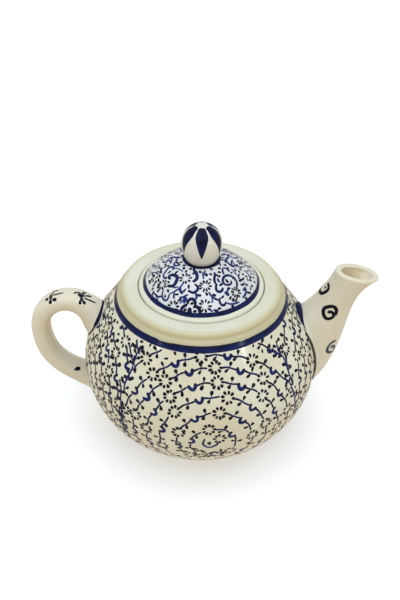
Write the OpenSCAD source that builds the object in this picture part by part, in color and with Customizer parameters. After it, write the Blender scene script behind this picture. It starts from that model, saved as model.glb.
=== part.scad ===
// Round-bellied glazed teapot with a gallery collar, a domed lid and a swept spout and handle.
// Millimetres. The pot stands on z = 0 with its turning axis on Z. The spout points along +X.

/* [Belly] */
// Widest diameter of the belly
belly_d = 160; // [130:1:190]
// Diameter of the flat base
base_d = 89; // [76:0.5:100]
// Profile radius of the belly below its widest circle
belly_lower_arc = 58.8; // [50:0.1:70]
// Profile radius of the belly above its widest circle
belly_upper_arc = 52; // [44:0.5:60]
// Lean of the straight shoulder from the vertical, in degrees
shoulder_lean = 35.6; // [31:0.1:40]
// Thickness of the thrown wall
wall = 4.5; // [3:0.1:6]
// Thickness of the floor of the pot
floor_t = 5; // [4:0.1:8]

/* [Foot ring] */
// Height of the foot ring
foot_h = 4; // [2:0.1:8]
// Step in from the edge of the base to the foot ring
foot_step = 1.5; // [0.5:0.1:4]
// How far the foot ring draws in towards the table
foot_draw = 2; // [0.5:0.1:4]
// Width of the face that stands on the table
foot_t = 6; // [4:0.1:9]
// How far the inside of the foot ring spreads towards the base
foot_spread = 1; // [0.5:0.1:3]

/* [Gallery collar] */
// Diameter of the mouth of the pot
throat_d = 68; // [56:0.5:76]
// Width of the collar's flat top outside the lid
collar_rim = 10.8; // [7:0.1:14]
// Depth of the hollow moulding under the collar's edge
collar_hollow = 2.5; // [1.5:0.1:4]
// Height of the collar from the shoulder to its flat top
collar_h = 6.3; // [5.5:0.1:9]
// Thickness of the thin lip at the collar's root
collar_lip_t = 1; // [0.6:0.1:2]
// Radius of the rounded upper edge
collar_edge = 2.2; // [1:0.1:2.6]
// Depth of the ledge that the lid sits in
ledge_depth = 3; // [2:0.1:4]

/* [Lid] */
// Width of the flange that bears on the ledge
lid_bearing = 6.6; // [4:0.1:9]
// Thickness of the flange
lid_flange_t = 4.4; // [3:0.1:6]
// Radius of the flange's rounded edge
lid_edge = 2; // [1:0.1:2.5]
// Width of the plain margin between the flange's edge and the dome
lid_margin = 3.1; // [2.5:0.1:6]
// Rise of the dome above the flange
dome_rise = 19.3; // [14:0.1:26]
// Thickness of the dome
lid_wall = 4; // [3:0.1:6]
// Depth of the skirt that keeps the lid in the mouth
skirt_h = 11.5; // [6:0.5:18]
// Thickness of the skirt
skirt_t = 3.4; // [2.5:0.1:5]

/* [Lid knob] */
// Widest diameter of the knob
knob_d = 25.6; // [20:0.1:32]
// How far the knob draws in to its neck on each side
knob_waist = 2.9; // [1.5:0.1:5]
// Height of the knob's widest circle above its neck
knob_rise = 11.4; // [8:0.1:16]

/* [Spout] */
// Height of the root's centre above the belly's widest circle
spout_root_rise = 3; // [-4:0.5:10]
// Height of the oval root
spout_root_h = 70.8; // [56:0.2:76]
// Width of the oval root
spout_root_w = 48; // [36:0.5:52]
// Lean of the root from the vertical, in degrees
spout_root_lean = 62; // [54:1:72]
// Reach of the neck beyond the belly
spout_neck_reach = 7.3; // [4:0.1:16]
// Height of the neck above the belly's widest circle
spout_neck_rise = 44.3; // [38:0.1:52]
// Lean of the neck from the vertical, in degrees
spout_neck_lean = 21; // [14:1:30]
// Depth of the neck in the spout's own plane
spout_neck_h = 22.9; // [18:0.1:26]
// Width of the neck across that plane
spout_neck_w = 20; // [16:0.1:24]
// Reach of the mouth's centre beyond the belly
spout_mouth_reach = 19.6; // [16:0.1:30]
// Height of the mouth's centre above the belly's widest circle
spout_mouth_rise = 67.4; // [61:0.1:76]
// Lean of the spout from the vertical where it ends, in degrees
spout_mouth_lean = 42; // [30:1:50]
// Tilt of the mouth's face from the level, in degrees
spout_mouth_tilt = 9; // [0:0.5:20]
// Length of the flared lip in the spout's own plane
spout_lip_h = 28.8; // [25:0.1:32]
// Width of the flared lip across that plane
spout_lip_w = 20.8; // [18:0.1:26]
// Thickness of the spout's wall
spout_wall = 3.2; // [2.4:0.1:4]
// Thickness of the rolled lip
spout_lip_t = 4.2; // [3:0.1:5]

/* [Strainer] */
// Diameter of one strainer hole
strainer_d = 5.5; // [3:0.1:7]
// Distance of the outer strainer holes from the middle one
strainer_pitch = 9.5; // [8:0.5:12]
// Number of strainer holes round the middle one
strainer_ring = 6; // [4:1:8]

/* [Handle] */
// Height of the upper root above the belly's widest circle
handle_upper_rise = 29; // [22:0.5:34]
// Depth of the lower root below the belly's widest circle
handle_lower_drop = 27.5; // [20:0.5:31]
// Reach of the handle's middle line beyond the belly
handle_reach = 29.3; // [22:0.1:40]
// Height above the belly's widest circle where the handle reaches furthest
handle_bow_rise = 18.5; // [10:0.5:24]
// Thickness of the handle in its own plane
handle_t = 12.7; // [10:0.1:16]
// Width of the handle across its plane
handle_w = 17; // [12:0.1:22]
// Height of the spread upper root along the belly
handle_upper_h = 18.5; // [16:0.5:26]
// Width of the spread upper root
handle_upper_w = 21; // [16:0.5:26]
// Height of the spread lower root along the belly
handle_lower_h = 21; // [16:0.5:26]
// Width of the spread lower root
handle_lower_w = 20; // [16:0.5:26]

/* [Fits] */
// Gap round the lid's flange in the ledge
lid_gap = 0.6; // [0.3:0.1:1.2]
// Gap round the lid's skirt in the mouth
skirt_gap = 0.8; // [0.4:0.1:1.5]
// Layer of slip between the belly and the pieces joined to its side
slip_gap = 0.15; // [0.05:0.05:0.3]

/* [Hidden] */
$fn = 96;

// Spout: depth of its root inside the belly, and the straight run that carries the root further in
spout_sink = 21;
spout_tail = 14;
// Spout: pull of its curve at the root, at the neck and at the mouth
spout_root_pull = 15.4;
spout_neck_pull = 15.5;
spout_mouth_pull = 8;
// Spout: power of its taper, and the shares of its run where the taper ends and the curve turns
spout_taper = 1.56;
spout_neck_at = 0.85;
spout_bend_at = 0.7;
// Spout: rounding of the lip
lip_roll = 1.2;
// Handle: pull of its curve at the roots, above the bow and below it
handle_upper_pull = [8.9, 25.2];
handle_crown_pull = 26.3;
handle_bow_pull = 30.7;
handle_lower_pull = [16.7, 8.2];
// Handle: share of its run over which a root spreads, and depth of the roots inside the belly
handle_root_run = 0.35;
handle_sink = 9;
// Sides and rings of the swept solids
loft_sides = 36;
spout_rings = 24;
handle_rings = 34;
// Run of a cutter past the face that it cuts
over = 1;

// Belly
belly_r = belly_d / 2;
base_r = base_d / 2;
lower_centre = belly_r - belly_lower_arc;
upper_centre = belly_r - belly_upper_arc;
belly_z = foot_h + sqrt(belly_lower_arc ^ 2 - (base_r - lower_centre) ^ 2);
tangent_z = belly_upper_arc * sin(shoulder_lean);
tangent_r = upper_centre + belly_upper_arc * cos(shoulder_lean);

// Outer radius of the belly at a height above its widest circle
function belly_radius(rise) =
    rise < 0 ? lower_centre + sqrt(belly_lower_arc ^ 2 - rise ^ 2)
    : rise < tangent_z ? upper_centre + sqrt(belly_upper_arc ^ 2 - rise ^ 2)
    : tangent_r - (rise - tangent_z) * tan(shoulder_lean);

// Height above the widest circle where the shoulder has a given radius
function shoulder_rise(radius) =
    radius > tangent_r ? sqrt(belly_upper_arc ^ 2 - (radius - upper_centre) ^ 2)
    : tangent_z + (tangent_r - radius) / tan(shoulder_lean);

// Lid, collar and ledge, from the mouth outwards
throat_r = throat_d / 2;
lid_r = throat_r + lid_bearing;
ledge_r = lid_r + lid_gap;
collar_top_r = ledge_r + collar_rim;
collar_r = collar_top_r + collar_hollow;
collar_z = belly_z + shoulder_rise(collar_r);
collar_top = collar_z + collar_h;
ledge_z = collar_top - ledge_depth;

// Dome and knob
flange_top = ledge_z + lid_flange_t;
dome_r = lid_r - lid_margin;
dome_arc = (dome_r ^ 2 + dome_rise ^ 2) / (2 * dome_rise);
dome_centre = flange_top + dome_rise - dome_arc;
skirt_r = throat_r - skirt_gap;
knob_r = knob_d / 2;
knob_neck_r = knob_r - knob_waist;
knob_seat = dome_centre + sqrt(dome_arc ^ 2 - knob_neck_r ^ 2);
knob_z = knob_seat + knob_rise;
knob_lower_arc = (knob_rise ^ 2 + knob_waist ^ 2) / (2 * knob_waist);

// Curves in the upright plane of the spout and handle, points as [x, z]
function lean_dir(degrees) = [sin(degrees), cos(degrees)];
function bezier(p, t) =
    (1 - t) ^ 3 * p[0] + 3 * (1 - t) ^ 2 * t * p[1] + 3 * (1 - t) * t ^ 2 * p[2] + t ^ 3 * p[3];
function bezier_dir(p, t) =
    let (d = (1 - t) ^ 2 * (p[1] - p[0]) + 2 * (1 - t) * t * (p[2] - p[1]) + t ^ 2 * (p[3] - p[2]))
    d / norm(d);

// One oval ring square to the curve: half size in the plane, half width across it
function ring(centre, dir, half_t, half_w) =
    [for (k = [0 : loft_sides - 1])
        let (a = 360 * k / loft_sides)
        [centre[0] - dir[1] * half_t * cos(a), half_w * sin(a), centre[1] + dir[0] * half_t * cos(a)]];

// Closed solid through a list of rings
module loft(rings) {
    n = loft_sides;
    last = len(rings) - 1;
    sides = [for (i = [0 : last - 1], k = [0 : n - 1])
        let (a = i * n + k, b = i * n + (k + 1) % n)
        each [[a, b, a + n], [b, b + n, a + n]]];
    root_cap = [for (k = [1 : n - 2]) [0, k + 1, k]];
    end_cap = [for (k = [1 : n - 2]) [last * n, last * n + k, last * n + k + 1]];
    polyhedron(points = [for (r = rings) each r], faces = concat(sides, root_cap, end_cap));
}

// Half section of the solid belly, grown or shrunk along its normal
module belly_section(grow) {
    lower = belly_lower_arc + grow;
    upper = belly_upper_arc + grow;
    turn_z = belly_z + upper * sin(shoulder_lean);
    turn_r = upper_centre + upper * cos(shoulder_lean);
    top_z = collar_top + over;
    intersection() {
        translate([lower_centre, belly_z]) circle(r = lower);
        square([belly_r + over, belly_z]);
    }
    intersection() {
        translate([upper_centre, belly_z]) circle(r = upper);
        translate([0, belly_z]) square([belly_r + over, turn_z - belly_z]);
    }
    polygon([[0, turn_z], [turn_r, turn_z],
        [turn_r - (top_z - turn_z) * tan(shoulder_lean), top_z], [0, top_z]]);
}

// The belly as one solid, used to seat the pieces on its side
module belly_seat() {
    rotate_extrude() belly_section(slip_gap);
}

module strainer() {
    root_z = belly_z + spout_root_rise;
    for (k = [0 : strainer_ring]) {
        angle = 360 * k / strainer_ring;
        offset_yz = k == 0 ? [0, 0] : strainer_pitch * [cos(angle), sin(angle)];
        translate([0, offset_yz[0], root_z + offset_yz[1]])
            rotate([0, 90, 0]) cylinder(d = strainer_d, h = belly_r + over);
    }
}

module body() {
    color("ivory") difference() {
        rotate_extrude() difference() {
            intersection() {
                belly_section(0);
                translate([0, foot_h]) square([belly_r + over, collar_z - foot_h]);
            }
            intersection() {
                belly_section(-wall);
                translate([0, foot_h + floor_t]) square([belly_r, collar_top]);
            }
        }
        strainer();
    }
}

module foot_ring() {
    top_r = base_r - foot_step;
    rest_r = top_r - foot_draw;
    inner_r = rest_r - foot_t;
    color("tan") rotate_extrude()
        polygon([[inner_r, 0], [rest_r, 0], [top_r, foot_h], [inner_r - foot_spread, foot_h]]);
}

module gallery_collar() {
    hollow_z = collar_z + collar_lip_t;
    color("ivory") rotate_extrude() difference() {
        union() {
            translate([0, collar_z]) square([collar_r, collar_lip_t]);
            translate([0, collar_z]) square([collar_top_r, collar_h - collar_edge]);
            translate([0, collar_z]) square([collar_top_r - collar_edge, collar_h]);
            translate([collar_top_r - collar_edge, collar_top - collar_edge]) circle(r = collar_edge);
            difference() {
                translate([collar_top_r, hollow_z]) square(collar_hollow);
                translate([collar_r, hollow_z + collar_hollow]) circle(r = collar_hollow);
            }
        }
        translate([0, ledge_z]) square([ledge_r, collar_h]);
        translate([0, collar_z - over]) square([throat_r, collar_h]);
    }
}

module spout() {
    root = [belly_r - spout_sink, belly_z + spout_root_rise];
    neck = [belly_r + spout_neck_reach, belly_z + spout_neck_rise];
    mouth = [belly_r + spout_mouth_reach, belly_z + spout_mouth_rise];
    root_dir = lean_dir(spout_root_lean);
    neck_dir = lean_dir(spout_neck_lean);
    end_dir = lean_dir(spout_mouth_lean);
    shares = [for (i = [0 : spout_rings]) i / spout_rings];
    lower = [root, root + spout_root_pull * root_dir, neck - spout_neck_pull * neck_dir, neck];
    upper = [neck, neck + spout_mouth_pull * neck_dir, mouth - spout_mouth_pull * end_dir, mouth];
    function centre(u) = u < spout_bend_at ? bezier(lower, u / spout_bend_at)
        : bezier(upper, upper_share(u));
    function upper_share(u) = (u - spout_bend_at) / (1 - spout_bend_at);
    function face_dir(u) = u < spout_bend_at ? bezier_dir(lower, u / spout_bend_at)
        : lean_dir(spout_neck_lean + (spout_mouth_tilt - spout_neck_lean) * upper_share(u));
    function flare(u) = max(0, (u - spout_neck_at) / (1 - spout_neck_at)) ^ 2;
    function swell(u, root_size, neck_size, lip_size) =
        neck_size + (root_size - neck_size) * max(0, 1 - u / spout_neck_at) ^ spout_taper
        + (lip_size - neck_size) * flare(u);
    function depth(u) = swell(u, spout_root_h, spout_neck_h, spout_lip_h) / 2;
    function width(u) = swell(u, spout_root_w, spout_neck_w, spout_lip_w) / 2;
    function bore_in(u) = spout_wall + (spout_lip_t - spout_wall) * flare(u);
    mouth_dir = lean_dir(spout_mouth_tilt);
    tail = root - spout_tail * root_dir;
    outside = concat(
        [ring(tail, root_dir, depth(0), width(0))],
        [for (u = shares) ring(centre(u), face_dir(u), depth(u), width(u))],
        [ring(mouth + lip_roll * mouth_dir, mouth_dir, depth(1) - lip_roll, width(1) - lip_roll)]);
    bore = concat(
        [ring(tail, root_dir, depth(0) - spout_wall, width(0) - spout_wall)],
        [for (u = shares) ring(centre(u), face_dir(u), depth(u) - bore_in(u), width(u) - bore_in(u))],
        [ring(mouth + (lip_roll + over) * mouth_dir, mouth_dir, depth(1) - lip_roll, width(1) - lip_roll)]);
    color("ivory") difference() {
        loft(outside);
        loft(bore);
        belly_seat();
    }
}

module handle() {
    upper_root = [-belly_radius(handle_upper_rise), belly_z + handle_upper_rise];
    lower_root = [-belly_radius(-handle_lower_drop), belly_z - handle_lower_drop];
    bow = [-belly_r - handle_reach, belly_z + handle_bow_rise];
    upper = [upper_root, upper_root + [-handle_upper_pull[0], handle_upper_pull[1]],
        bow + [0, handle_crown_pull], bow];
    lower = [bow, bow - [0, handle_bow_pull],
        lower_root + [-handle_lower_pull[0], handle_lower_pull[1]], lower_root];
    function centre(u) = u < 0.5 ? bezier(upper, 2 * u) : bezier(lower, 2 * u - 1);
    function dir(u) = u < 0.5 ? bezier_dir(upper, 2 * u) : bezier_dir(lower, 2 * u - 1);
    function spread(u, size, upper_size, lower_size) =
        size + (upper_size - size) * max(0, 1 - u / handle_root_run) ^ 3
        + (lower_size - size) * max(0, 1 - (1 - u) / handle_root_run) ^ 3;
    function thick(u) = spread(u, handle_t, handle_upper_h, handle_lower_h) / 2;
    function width(u) = spread(u, handle_w, handle_upper_w, handle_lower_w) / 2;
    color("ivory") difference() {
        loft(concat(
            [ring(centre(0) - handle_sink * dir(0), dir(0), thick(0), width(0))],
            [for (i = [0 : handle_rings])
                let (u = i / handle_rings)
                ring(centre(u), dir(u), thick(u), width(u))],
            [ring(centre(1) + handle_sink * dir(1), dir(1), thick(1), width(1))]));
        belly_seat();
    }
}

module lid() {
    color("lightsteelblue") rotate_extrude() difference() {
        union() {
            translate([0, ledge_z - skirt_h]) square([skirt_r, skirt_h + over]);
            translate([0, ledge_z]) square([lid_r, lid_flange_t - lid_edge]);
            translate([0, ledge_z]) square([lid_r - lid_edge, lid_flange_t]);
            translate([lid_r - lid_edge, flange_top - lid_edge]) circle(r = lid_edge);
            intersection() {
                translate([0, dome_centre]) circle(r = dome_arc);
                translate([0, flange_top]) square([dome_r, knob_seat - flange_top]);
            }
        }
        intersection() {
            translate([0, dome_centre]) circle(r = dome_arc - lid_wall);
            translate([0, ledge_z - skirt_h - over]) square([skirt_r - skirt_t, dome_arc]);
        }
    }
}

module lid_knob() {
    color("ivory") rotate_extrude() {
        intersection() {
            translate([knob_r - knob_lower_arc, knob_z]) circle(r = knob_lower_arc);
            translate([0, knob_seat]) square([knob_r, knob_rise]);
        }
        intersection() {
            translate([0, knob_z]) circle(r = knob_r);
            translate([0, knob_z]) square(knob_r);
        }
    }
}

body();
foot_ring();
gallery_collar();
spout();
handle();
lid();
lid_knob();
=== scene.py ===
import math
import random

import bmesh
import bpy
from mathutils import Matrix, Vector, kdtree, noise
from mathutils.bvhtree import BVHTree


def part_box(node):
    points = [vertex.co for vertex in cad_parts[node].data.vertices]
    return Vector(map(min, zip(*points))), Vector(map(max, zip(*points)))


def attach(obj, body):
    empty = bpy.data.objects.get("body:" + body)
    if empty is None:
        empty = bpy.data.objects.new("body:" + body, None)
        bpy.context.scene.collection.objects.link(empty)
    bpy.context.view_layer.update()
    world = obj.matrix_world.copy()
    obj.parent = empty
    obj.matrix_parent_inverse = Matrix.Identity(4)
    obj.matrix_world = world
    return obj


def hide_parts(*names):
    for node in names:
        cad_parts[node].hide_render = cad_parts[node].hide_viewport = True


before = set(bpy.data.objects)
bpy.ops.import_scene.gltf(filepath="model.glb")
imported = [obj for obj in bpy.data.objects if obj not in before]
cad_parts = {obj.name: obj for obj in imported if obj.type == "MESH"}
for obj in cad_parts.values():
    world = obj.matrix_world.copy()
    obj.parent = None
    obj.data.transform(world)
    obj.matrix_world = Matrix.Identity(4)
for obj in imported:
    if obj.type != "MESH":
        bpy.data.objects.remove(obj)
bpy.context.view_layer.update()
mm = 0.001
weld = 0.002 * mm  # points closer than this are one
creaseAngle = 40  # degrees past which an edge shows as sharp
sweptCrease = 70  # the same on spout and handle
dice = random.Random(23)
bpy.context.scene.view_settings.view_transform = "Standard"


# Camera at the photograph's angle, for an image of 400 by 600
view = {"elevation": 37.8, "distance": 420 * mm, "aim": 102.4 * mm, "roll": 0.73, "lens": 38.03,
        "sensor": 36, "imageWidth": 400, "imageHeight": 600, "offCentre": 1.09}

camera = bpy.data.objects.new("camera", bpy.data.cameras.new("camera"))
camera.data.lens = view["lens"]
camera.data.sensor_width = view["sensor"]
camera.data.shift_x = -view["offCentre"] / view["imageHeight"]
camera.matrix_world = (Matrix.Translation((0, 0, view["aim"]))
                       @ Matrix.Rotation(math.radians(90 - view["elevation"]), 4, "X")
                       @ Matrix.Translation((0, 0, view["distance"]))
                       @ Matrix.Rotation(math.radians(view["roll"]), 4, "Z"))
bpy.context.scene.collection.objects.link(camera)
bpy.context.scene.camera = camera


def photoSpot(tree, pixel):  # where a point of the photograph lies on a piece
    across = (pixel[0] - view["imageWidth"] / 2) / view["imageHeight"] + camera.data.shift_x
    down = (pixel[1] - view["imageHeight"] / 2) / view["imageHeight"]
    aim = Vector((across, -down, -view["lens"] / view["sensor"]))
    return tree.ray_cast(camera.matrix_world.translation, camera.matrix_world.to_3x3() @ aim)[0]


# Soft studio: cool light from above, warm light from below, and small lamps that sparkle in the glaze
studio = {"floor": 2, "sweep": 1.5, "wall": 4, "glow": 0.15,
          "skyTop": 0.9, "skyLow": 0.72, "skyFrom": -0.3, "skyTo": 0.7,
          "topTint": "#e9f3ff", "lowTint": "#fff1dc",
          "broad": {"place": (0, -0.2, 1), "strength": 1.0, "spread": 80},
          "lamps": [{"name": "rightLamp", "place": (0.85, -0.72, 0.58), "size": 0.07, "power": 0.42},
                    {"name": "leftLamp", "place": (-0.84, -0.73, 0.58), "size": 0.05, "power": 0.2}]}


def hexColour(text):  # sRGB hex to linear
    parts = [int(text[i:i + 2], 16) / 255 for i in (1, 3, 5)]
    return [c / 12.92 if c <= 0.04045 else ((c + 0.055) / 1.055) ** 2.4 for c in parts] + [1.0]


def addNode(tree, kind, options=None, inputs=None):
    node = tree.nodes.new(kind)
    for name, value in (options or {}).items():
        setattr(node, name, value)
    for name, value in (inputs or {}).items():
        if isinstance(value, bpy.types.NodeSocket):
            tree.links.new(value, node.inputs[name])
        else:
            node.inputs[name].default_value = value
    return node


def newMaterial(name):  # an empty node tree with its shader, output and Object coordinates
    material = bpy.data.materials.new(name)
    material.use_nodes = True
    tree = material.node_tree
    tree.nodes.clear()
    shader = addNode(tree, "ShaderNodeBsdfPrincipled")
    addNode(tree, "ShaderNodeOutputMaterial", inputs={"Surface": shader.outputs["BSDF"]})
    place = addNode(tree, "ShaderNodeTexCoord").outputs["Object"]
    return material, tree, shader, place


def perMm(size):  # texture scale of a pattern whose features are this many millimetres wide
    return 1 / (size * mm)


# Clear glaze over an ivory slip: glossy, warmer where it lies thick, with a faint ripple from the wheel
glazeForm = {"poolSize": 45, "gritSize": 1.6, "gritColour": "#a98f66", "waveSize": 9, "waveHeight": 0.6 * mm,
             "ringSize": 2.6, "ringHeight": 0.2 * mm, "ior": 1.5, "coat": 0.3, "coatRoughness": 0.06}


def glazedEarthenware(name, pale, warm, ripple=0.0, rims=(), paintedShading=None):
    material, tree, shader, place = newMaterial(name)
    form = glazeForm
    pools = addNode(tree, "ShaderNodeTexNoise", inputs={
        "Vector": place, "Scale": perMm(form["poolSize"]), "Detail": 3.0})
    ground = addNode(tree, "ShaderNodeMixRGB", inputs={
        "Fac": addNode(tree, "ShaderNodeMapRange", inputs={
            "Value": pools.outputs["Fac"], "From Min": 0.35, "From Max": 0.68}).outputs["Result"],
        "Color1": hexColour(pale), "Color2": hexColour(warm)})
    flat = addNode(tree, "ShaderNodeVectorMath", {"operation": "MULTIPLY"}, {0: place, 1: (1, 1, 0)})
    radius = addNode(tree, "ShaderNodeVectorMath", {"operation": "LENGTH"}, {0: flat.outputs["Vector"]})
    for rim in rims:  # another colour from this radius outwards
        outside = addNode(tree, "ShaderNodeMapRange", inputs={
            "Value": radius.outputs["Value"], "From Min": rim["radius"] - rim["fade"],
            "From Max": rim["radius"]})
        ground = addNode(tree, "ShaderNodeMixRGB", inputs={
            "Fac": outside.outputs["Result"], "Color1": ground.outputs["Color"],
            "Color2": hexColour(rim["colour"])})
    if paintedShading:  # another colour where the piece's own attribute asks for it: painted shade inside the handle's loop, painted light down the spout's bore
        depth = addNode(tree, "ShaderNodeAttribute", {"attribute_name": "paintedShading"})
        ground = addNode(tree, "ShaderNodeMixRGB", inputs={
            "Fac": depth.outputs["Fac"], "Color1": ground.outputs["Color"], "Color2": hexColour(paintedShading)})
    grit = addNode(tree, "ShaderNodeTexNoise", inputs={
        "Vector": place, "Scale": perMm(form["gritSize"]), "Detail": 2.0})
    speck = addNode(tree, "ShaderNodeMapRange", inputs={
        "Value": grit.outputs["Fac"], "From Min": 0.70, "From Max": 0.80, "To Max": 0.25})
    speckled = addNode(tree, "ShaderNodeMixRGB", inputs={
        "Fac": speck.outputs["Result"], "Color1": ground.outputs["Color"],
        "Color2": hexColour(form["gritColour"])})
    wave = addNode(tree, "ShaderNodeTexNoise", inputs={
        "Vector": place, "Scale": perMm(form["waveSize"]), "Detail": 1.5})
    dull = addNode(tree, "ShaderNodeMapRange", inputs={
        "Value": wave.outputs["Fac"], "To Min": 0.10, "To Max": 0.24})
    bumps = addNode(tree, "ShaderNodeBump", inputs={
        "Height": wave.outputs["Fac"], "Strength": 0.2, "Distance": form["waveHeight"]})
    if ripple:  # throwing rings, drawn wide enough to show
        turns = addNode(tree, "ShaderNodeMath", {"operation": "MULTIPLY"},
                        {0: radius.outputs["Value"], 1: math.tau * perMm(form["ringSize"])})
        rings = addNode(tree, "ShaderNodeMath", {"operation": "SINE"}, {0: turns.outputs["Value"]})
        bumps = addNode(tree, "ShaderNodeBump", inputs={
            "Height": rings.outputs["Value"], "Strength": ripple, "Distance": form["ringHeight"],
            "Normal": bumps.outputs["Normal"]})
    tree.links.new(speckled.outputs["Color"], shader.inputs["Base Color"])
    tree.links.new(dull.outputs["Result"], shader.inputs["Roughness"])
    tree.links.new(bumps.outputs["Normal"], shader.inputs["Normal"])
    shader.inputs["IOR"].default_value = form["ior"]
    shader.inputs["Coat Weight"].default_value = form["coat"]
    shader.inputs["Coat Roughness"].default_value = form["coatRoughness"]
    return material


# Cobalt under the glaze: watery blue where the brush ran thin, near black where it was loaded
cobaltForm = {"cloudSize": 5, "drift": 0.08, "roughness": 0.16, "ior": 1.5, "specular": 0.12}


def cobaltPaint(name, watery="#7f93bd", middle="#22337a", loaded="#040924"):
    material, tree, shader, place = newMaterial(name)
    load = addNode(tree, "ShaderNodeAttribute", {"attribute_name": "pigment"})
    cloud = addNode(tree, "ShaderNodeTexNoise", inputs={
        "Vector": place, "Scale": perMm(cobaltForm["cloudSize"]), "Detail": 3.0})
    drift = addNode(tree, "ShaderNodeMapRange", inputs={
        "Value": cloud.outputs["Fac"], "From Min": 0.3, "From Max": 0.7,
        "To Min": -cobaltForm["drift"], "To Max": cobaltForm["drift"]})
    depth = addNode(tree, "ShaderNodeMath", {"operation": "ADD", "use_clamp": True},
                    {0: load.outputs["Fac"], 1: drift.outputs["Result"]})
    wash = addNode(tree, "ShaderNodeMapRange", inputs={"Value": depth.outputs["Value"], "From Max": 0.5})
    full = addNode(tree, "ShaderNodeMapRange", inputs={"Value": depth.outputs["Value"], "From Min": 0.5})
    thin = addNode(tree, "ShaderNodeMixRGB", inputs={
        "Fac": wash.outputs["Result"], "Color1": hexColour(watery), "Color2": hexColour(middle)})
    deep = addNode(tree, "ShaderNodeMixRGB", inputs={
        "Fac": full.outputs["Result"], "Color1": thin.outputs["Color"], "Color2": hexColour(loaded)})
    tree.links.new(deep.outputs["Color"], shader.inputs["Base Color"])
    shader.inputs["Roughness"].default_value = cobaltForm["roughness"]
    shader.inputs["IOR"].default_value = cobaltForm["ior"]
    shader.inputs["Specular IOR Level"].default_value = cobaltForm["specular"]
    return material


# Buff clay left bare under the foot: dry, gritty, rubbed pale where it stands
clayForm = {"gritSize": 0.9, "stainSize": 14, "pale": "#d8c4a2", "brown": "#b99a72", "gritShare": 0.35,
            "gritHeight": 0.3 * mm, "roughness": 0.85}


def bareClay(name):
    material, tree, shader, place = newMaterial(name)
    grit = addNode(tree, "ShaderNodeTexNoise", inputs={
        "Vector": place, "Scale": perMm(clayForm["gritSize"]), "Detail": 4.0})
    stain = addNode(tree, "ShaderNodeTexNoise", inputs={
        "Vector": place, "Scale": perMm(clayForm["stainSize"]), "Detail": 3.0})
    body = addNode(tree, "ShaderNodeMixRGB", inputs={
        "Fac": stain.outputs["Fac"], "Color1": hexColour(clayForm["pale"]),
        "Color2": hexColour(clayForm["brown"])})
    grains = addNode(tree, "ShaderNodeMixRGB", {"blend_type": "MULTIPLY"}, {
        "Fac": clayForm["gritShare"], "Color1": body.outputs["Color"], "Color2": grit.outputs["Color"]})
    rough = addNode(tree, "ShaderNodeBump", inputs={
        "Height": grit.outputs["Fac"], "Strength": 0.5, "Distance": clayForm["gritHeight"]})
    tree.links.new(grains.outputs["Color"], shader.inputs["Base Color"])
    tree.links.new(rough.outputs["Normal"], shader.inputs["Normal"])
    shader.inputs["Roughness"].default_value = clayForm["roughness"]
    return material


# Where the glaze of lid and collar turns another colour: the lid's flange is ivory, and the collar's rounded
# edge, hollow side and lip are darkened by painted shade
lidRim = {"radius": 37.4 * mm, "fade": 0.3 * mm, "colour": "#dddcc6"}
collarSidePaintedShade = {"radius": 51.2 * mm, "fade": 3.4 * mm, "colour": "#c8c098"}
collarFootPaintedShade = {"radius": 54 * mm, "fade": 1.8 * mm, "colour": "#b9b28d"}
# Handle: painted shade, darker and warmer inside the loop
handleGlaze = glazedEarthenware("ivoryGlazeWithPaintedShadeInsideTheLoop", "#e2ddca", "#dad0b5", paintedShading="#dcc8a0")
collarGlaze = glazedEarthenware("ivoryGlazeOnTurnedRim", "#dfddc9", "#d7d2b6", ripple=0.12,
                                rims=[collarSidePaintedShade, collarFootPaintedShade])
# Spout: painted light, a paler glaze down the bore
spoutGlaze = glazedEarthenware("ivoryGlazeWithPaintedLightInTheBore", "#e2ddca", "#dad0b5", paintedShading="#f6e9ca")
bellyGlaze = glazedEarthenware("ivoryGlazeUnderPainting", "#dfdfc9", "#d8d1b4")
lidGlaze = glazedEarthenware("whiteGlazeUnderPainting", "#d8dbdc", "#d2d5d1", rims=[lidRim])
knobGlaze = glazedEarthenware("whiteGlazeOnTheKnob", "#e1e0d8", "#dad5c4")
cobalt = cobaltPaint("cobaltUnderGlaze")
denseCobalt = cobaltPaint("denseCobaltGoneBlack", watery="#7c8aa8", middle="#232b50", loaded="#06060e")
greyCobalt = cobaltPaint("thinCobaltGoneGrey", watery="#a3b0b6", middle="#5d7481", loaded="#24323f")
# painted shadow: a brown line laid in the crease where the spout meets the belly
jointShadowPaint = cobaltPaint("brownPaintedShadowInTheSeam", watery="#b3a88c", middle="#6d6454", loaded="#2c2924")
clay = bareClay("bareBuffClay")
print("materials made")


def newPiece(name, bm, material, body, nodes=(), sharp=creaseAngle):
    mesh = bpy.data.meshes.new(name)
    bm.to_mesh(mesh)
    bm.free()
    mesh.shade_smooth()
    mesh.set_sharp_from_angle(angle=math.radians(sharp))
    mesh.materials.append(material)
    piece = bpy.data.objects.new(name, mesh)
    bpy.context.scene.collection.objects.link(piece)
    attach(piece, body)
    if nodes:
        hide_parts(*nodes)
    print(name, len(mesh.polygons), "faces")
    return piece


def turned(start, moves, sides=192):  # a profile drawn by lines and arcs, spun round the axis
    bm = bmesh.new()
    tip = bm.verts.new((start[0], 0, start[1]))
    for move in moves:
        if len(move) == 2:  # straight to a point
            tip = bmesh.ops.extrude_vert_indiv(bm, verts=[tip])["verts"][0]
            tip.co = (move[0], 0, move[1])
        else:  # round a centre, anticlockwise
            centre, degrees, steps = move
            arc = bmesh.ops.spin(bm, geom=[tip], cent=(centre[0], 0, centre[1]), axis=(0, -1, 0),
                                 angle=math.radians(degrees), steps=steps)
            tip = arc["geom_last"][0]
    bmesh.ops.spin(bm, geom=bm.verts[:] + bm.edges[:], cent=(0, 0, 0), axis=(0, 0, 1),
                   angle=math.tau, steps=sides, use_merge=True)
    bmesh.ops.remove_doubles(bm, verts=bm.verts[:], dist=weld)
    bmesh.ops.recalc_face_normals(bm, faces=bm.faces[:])
    return bm


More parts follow.
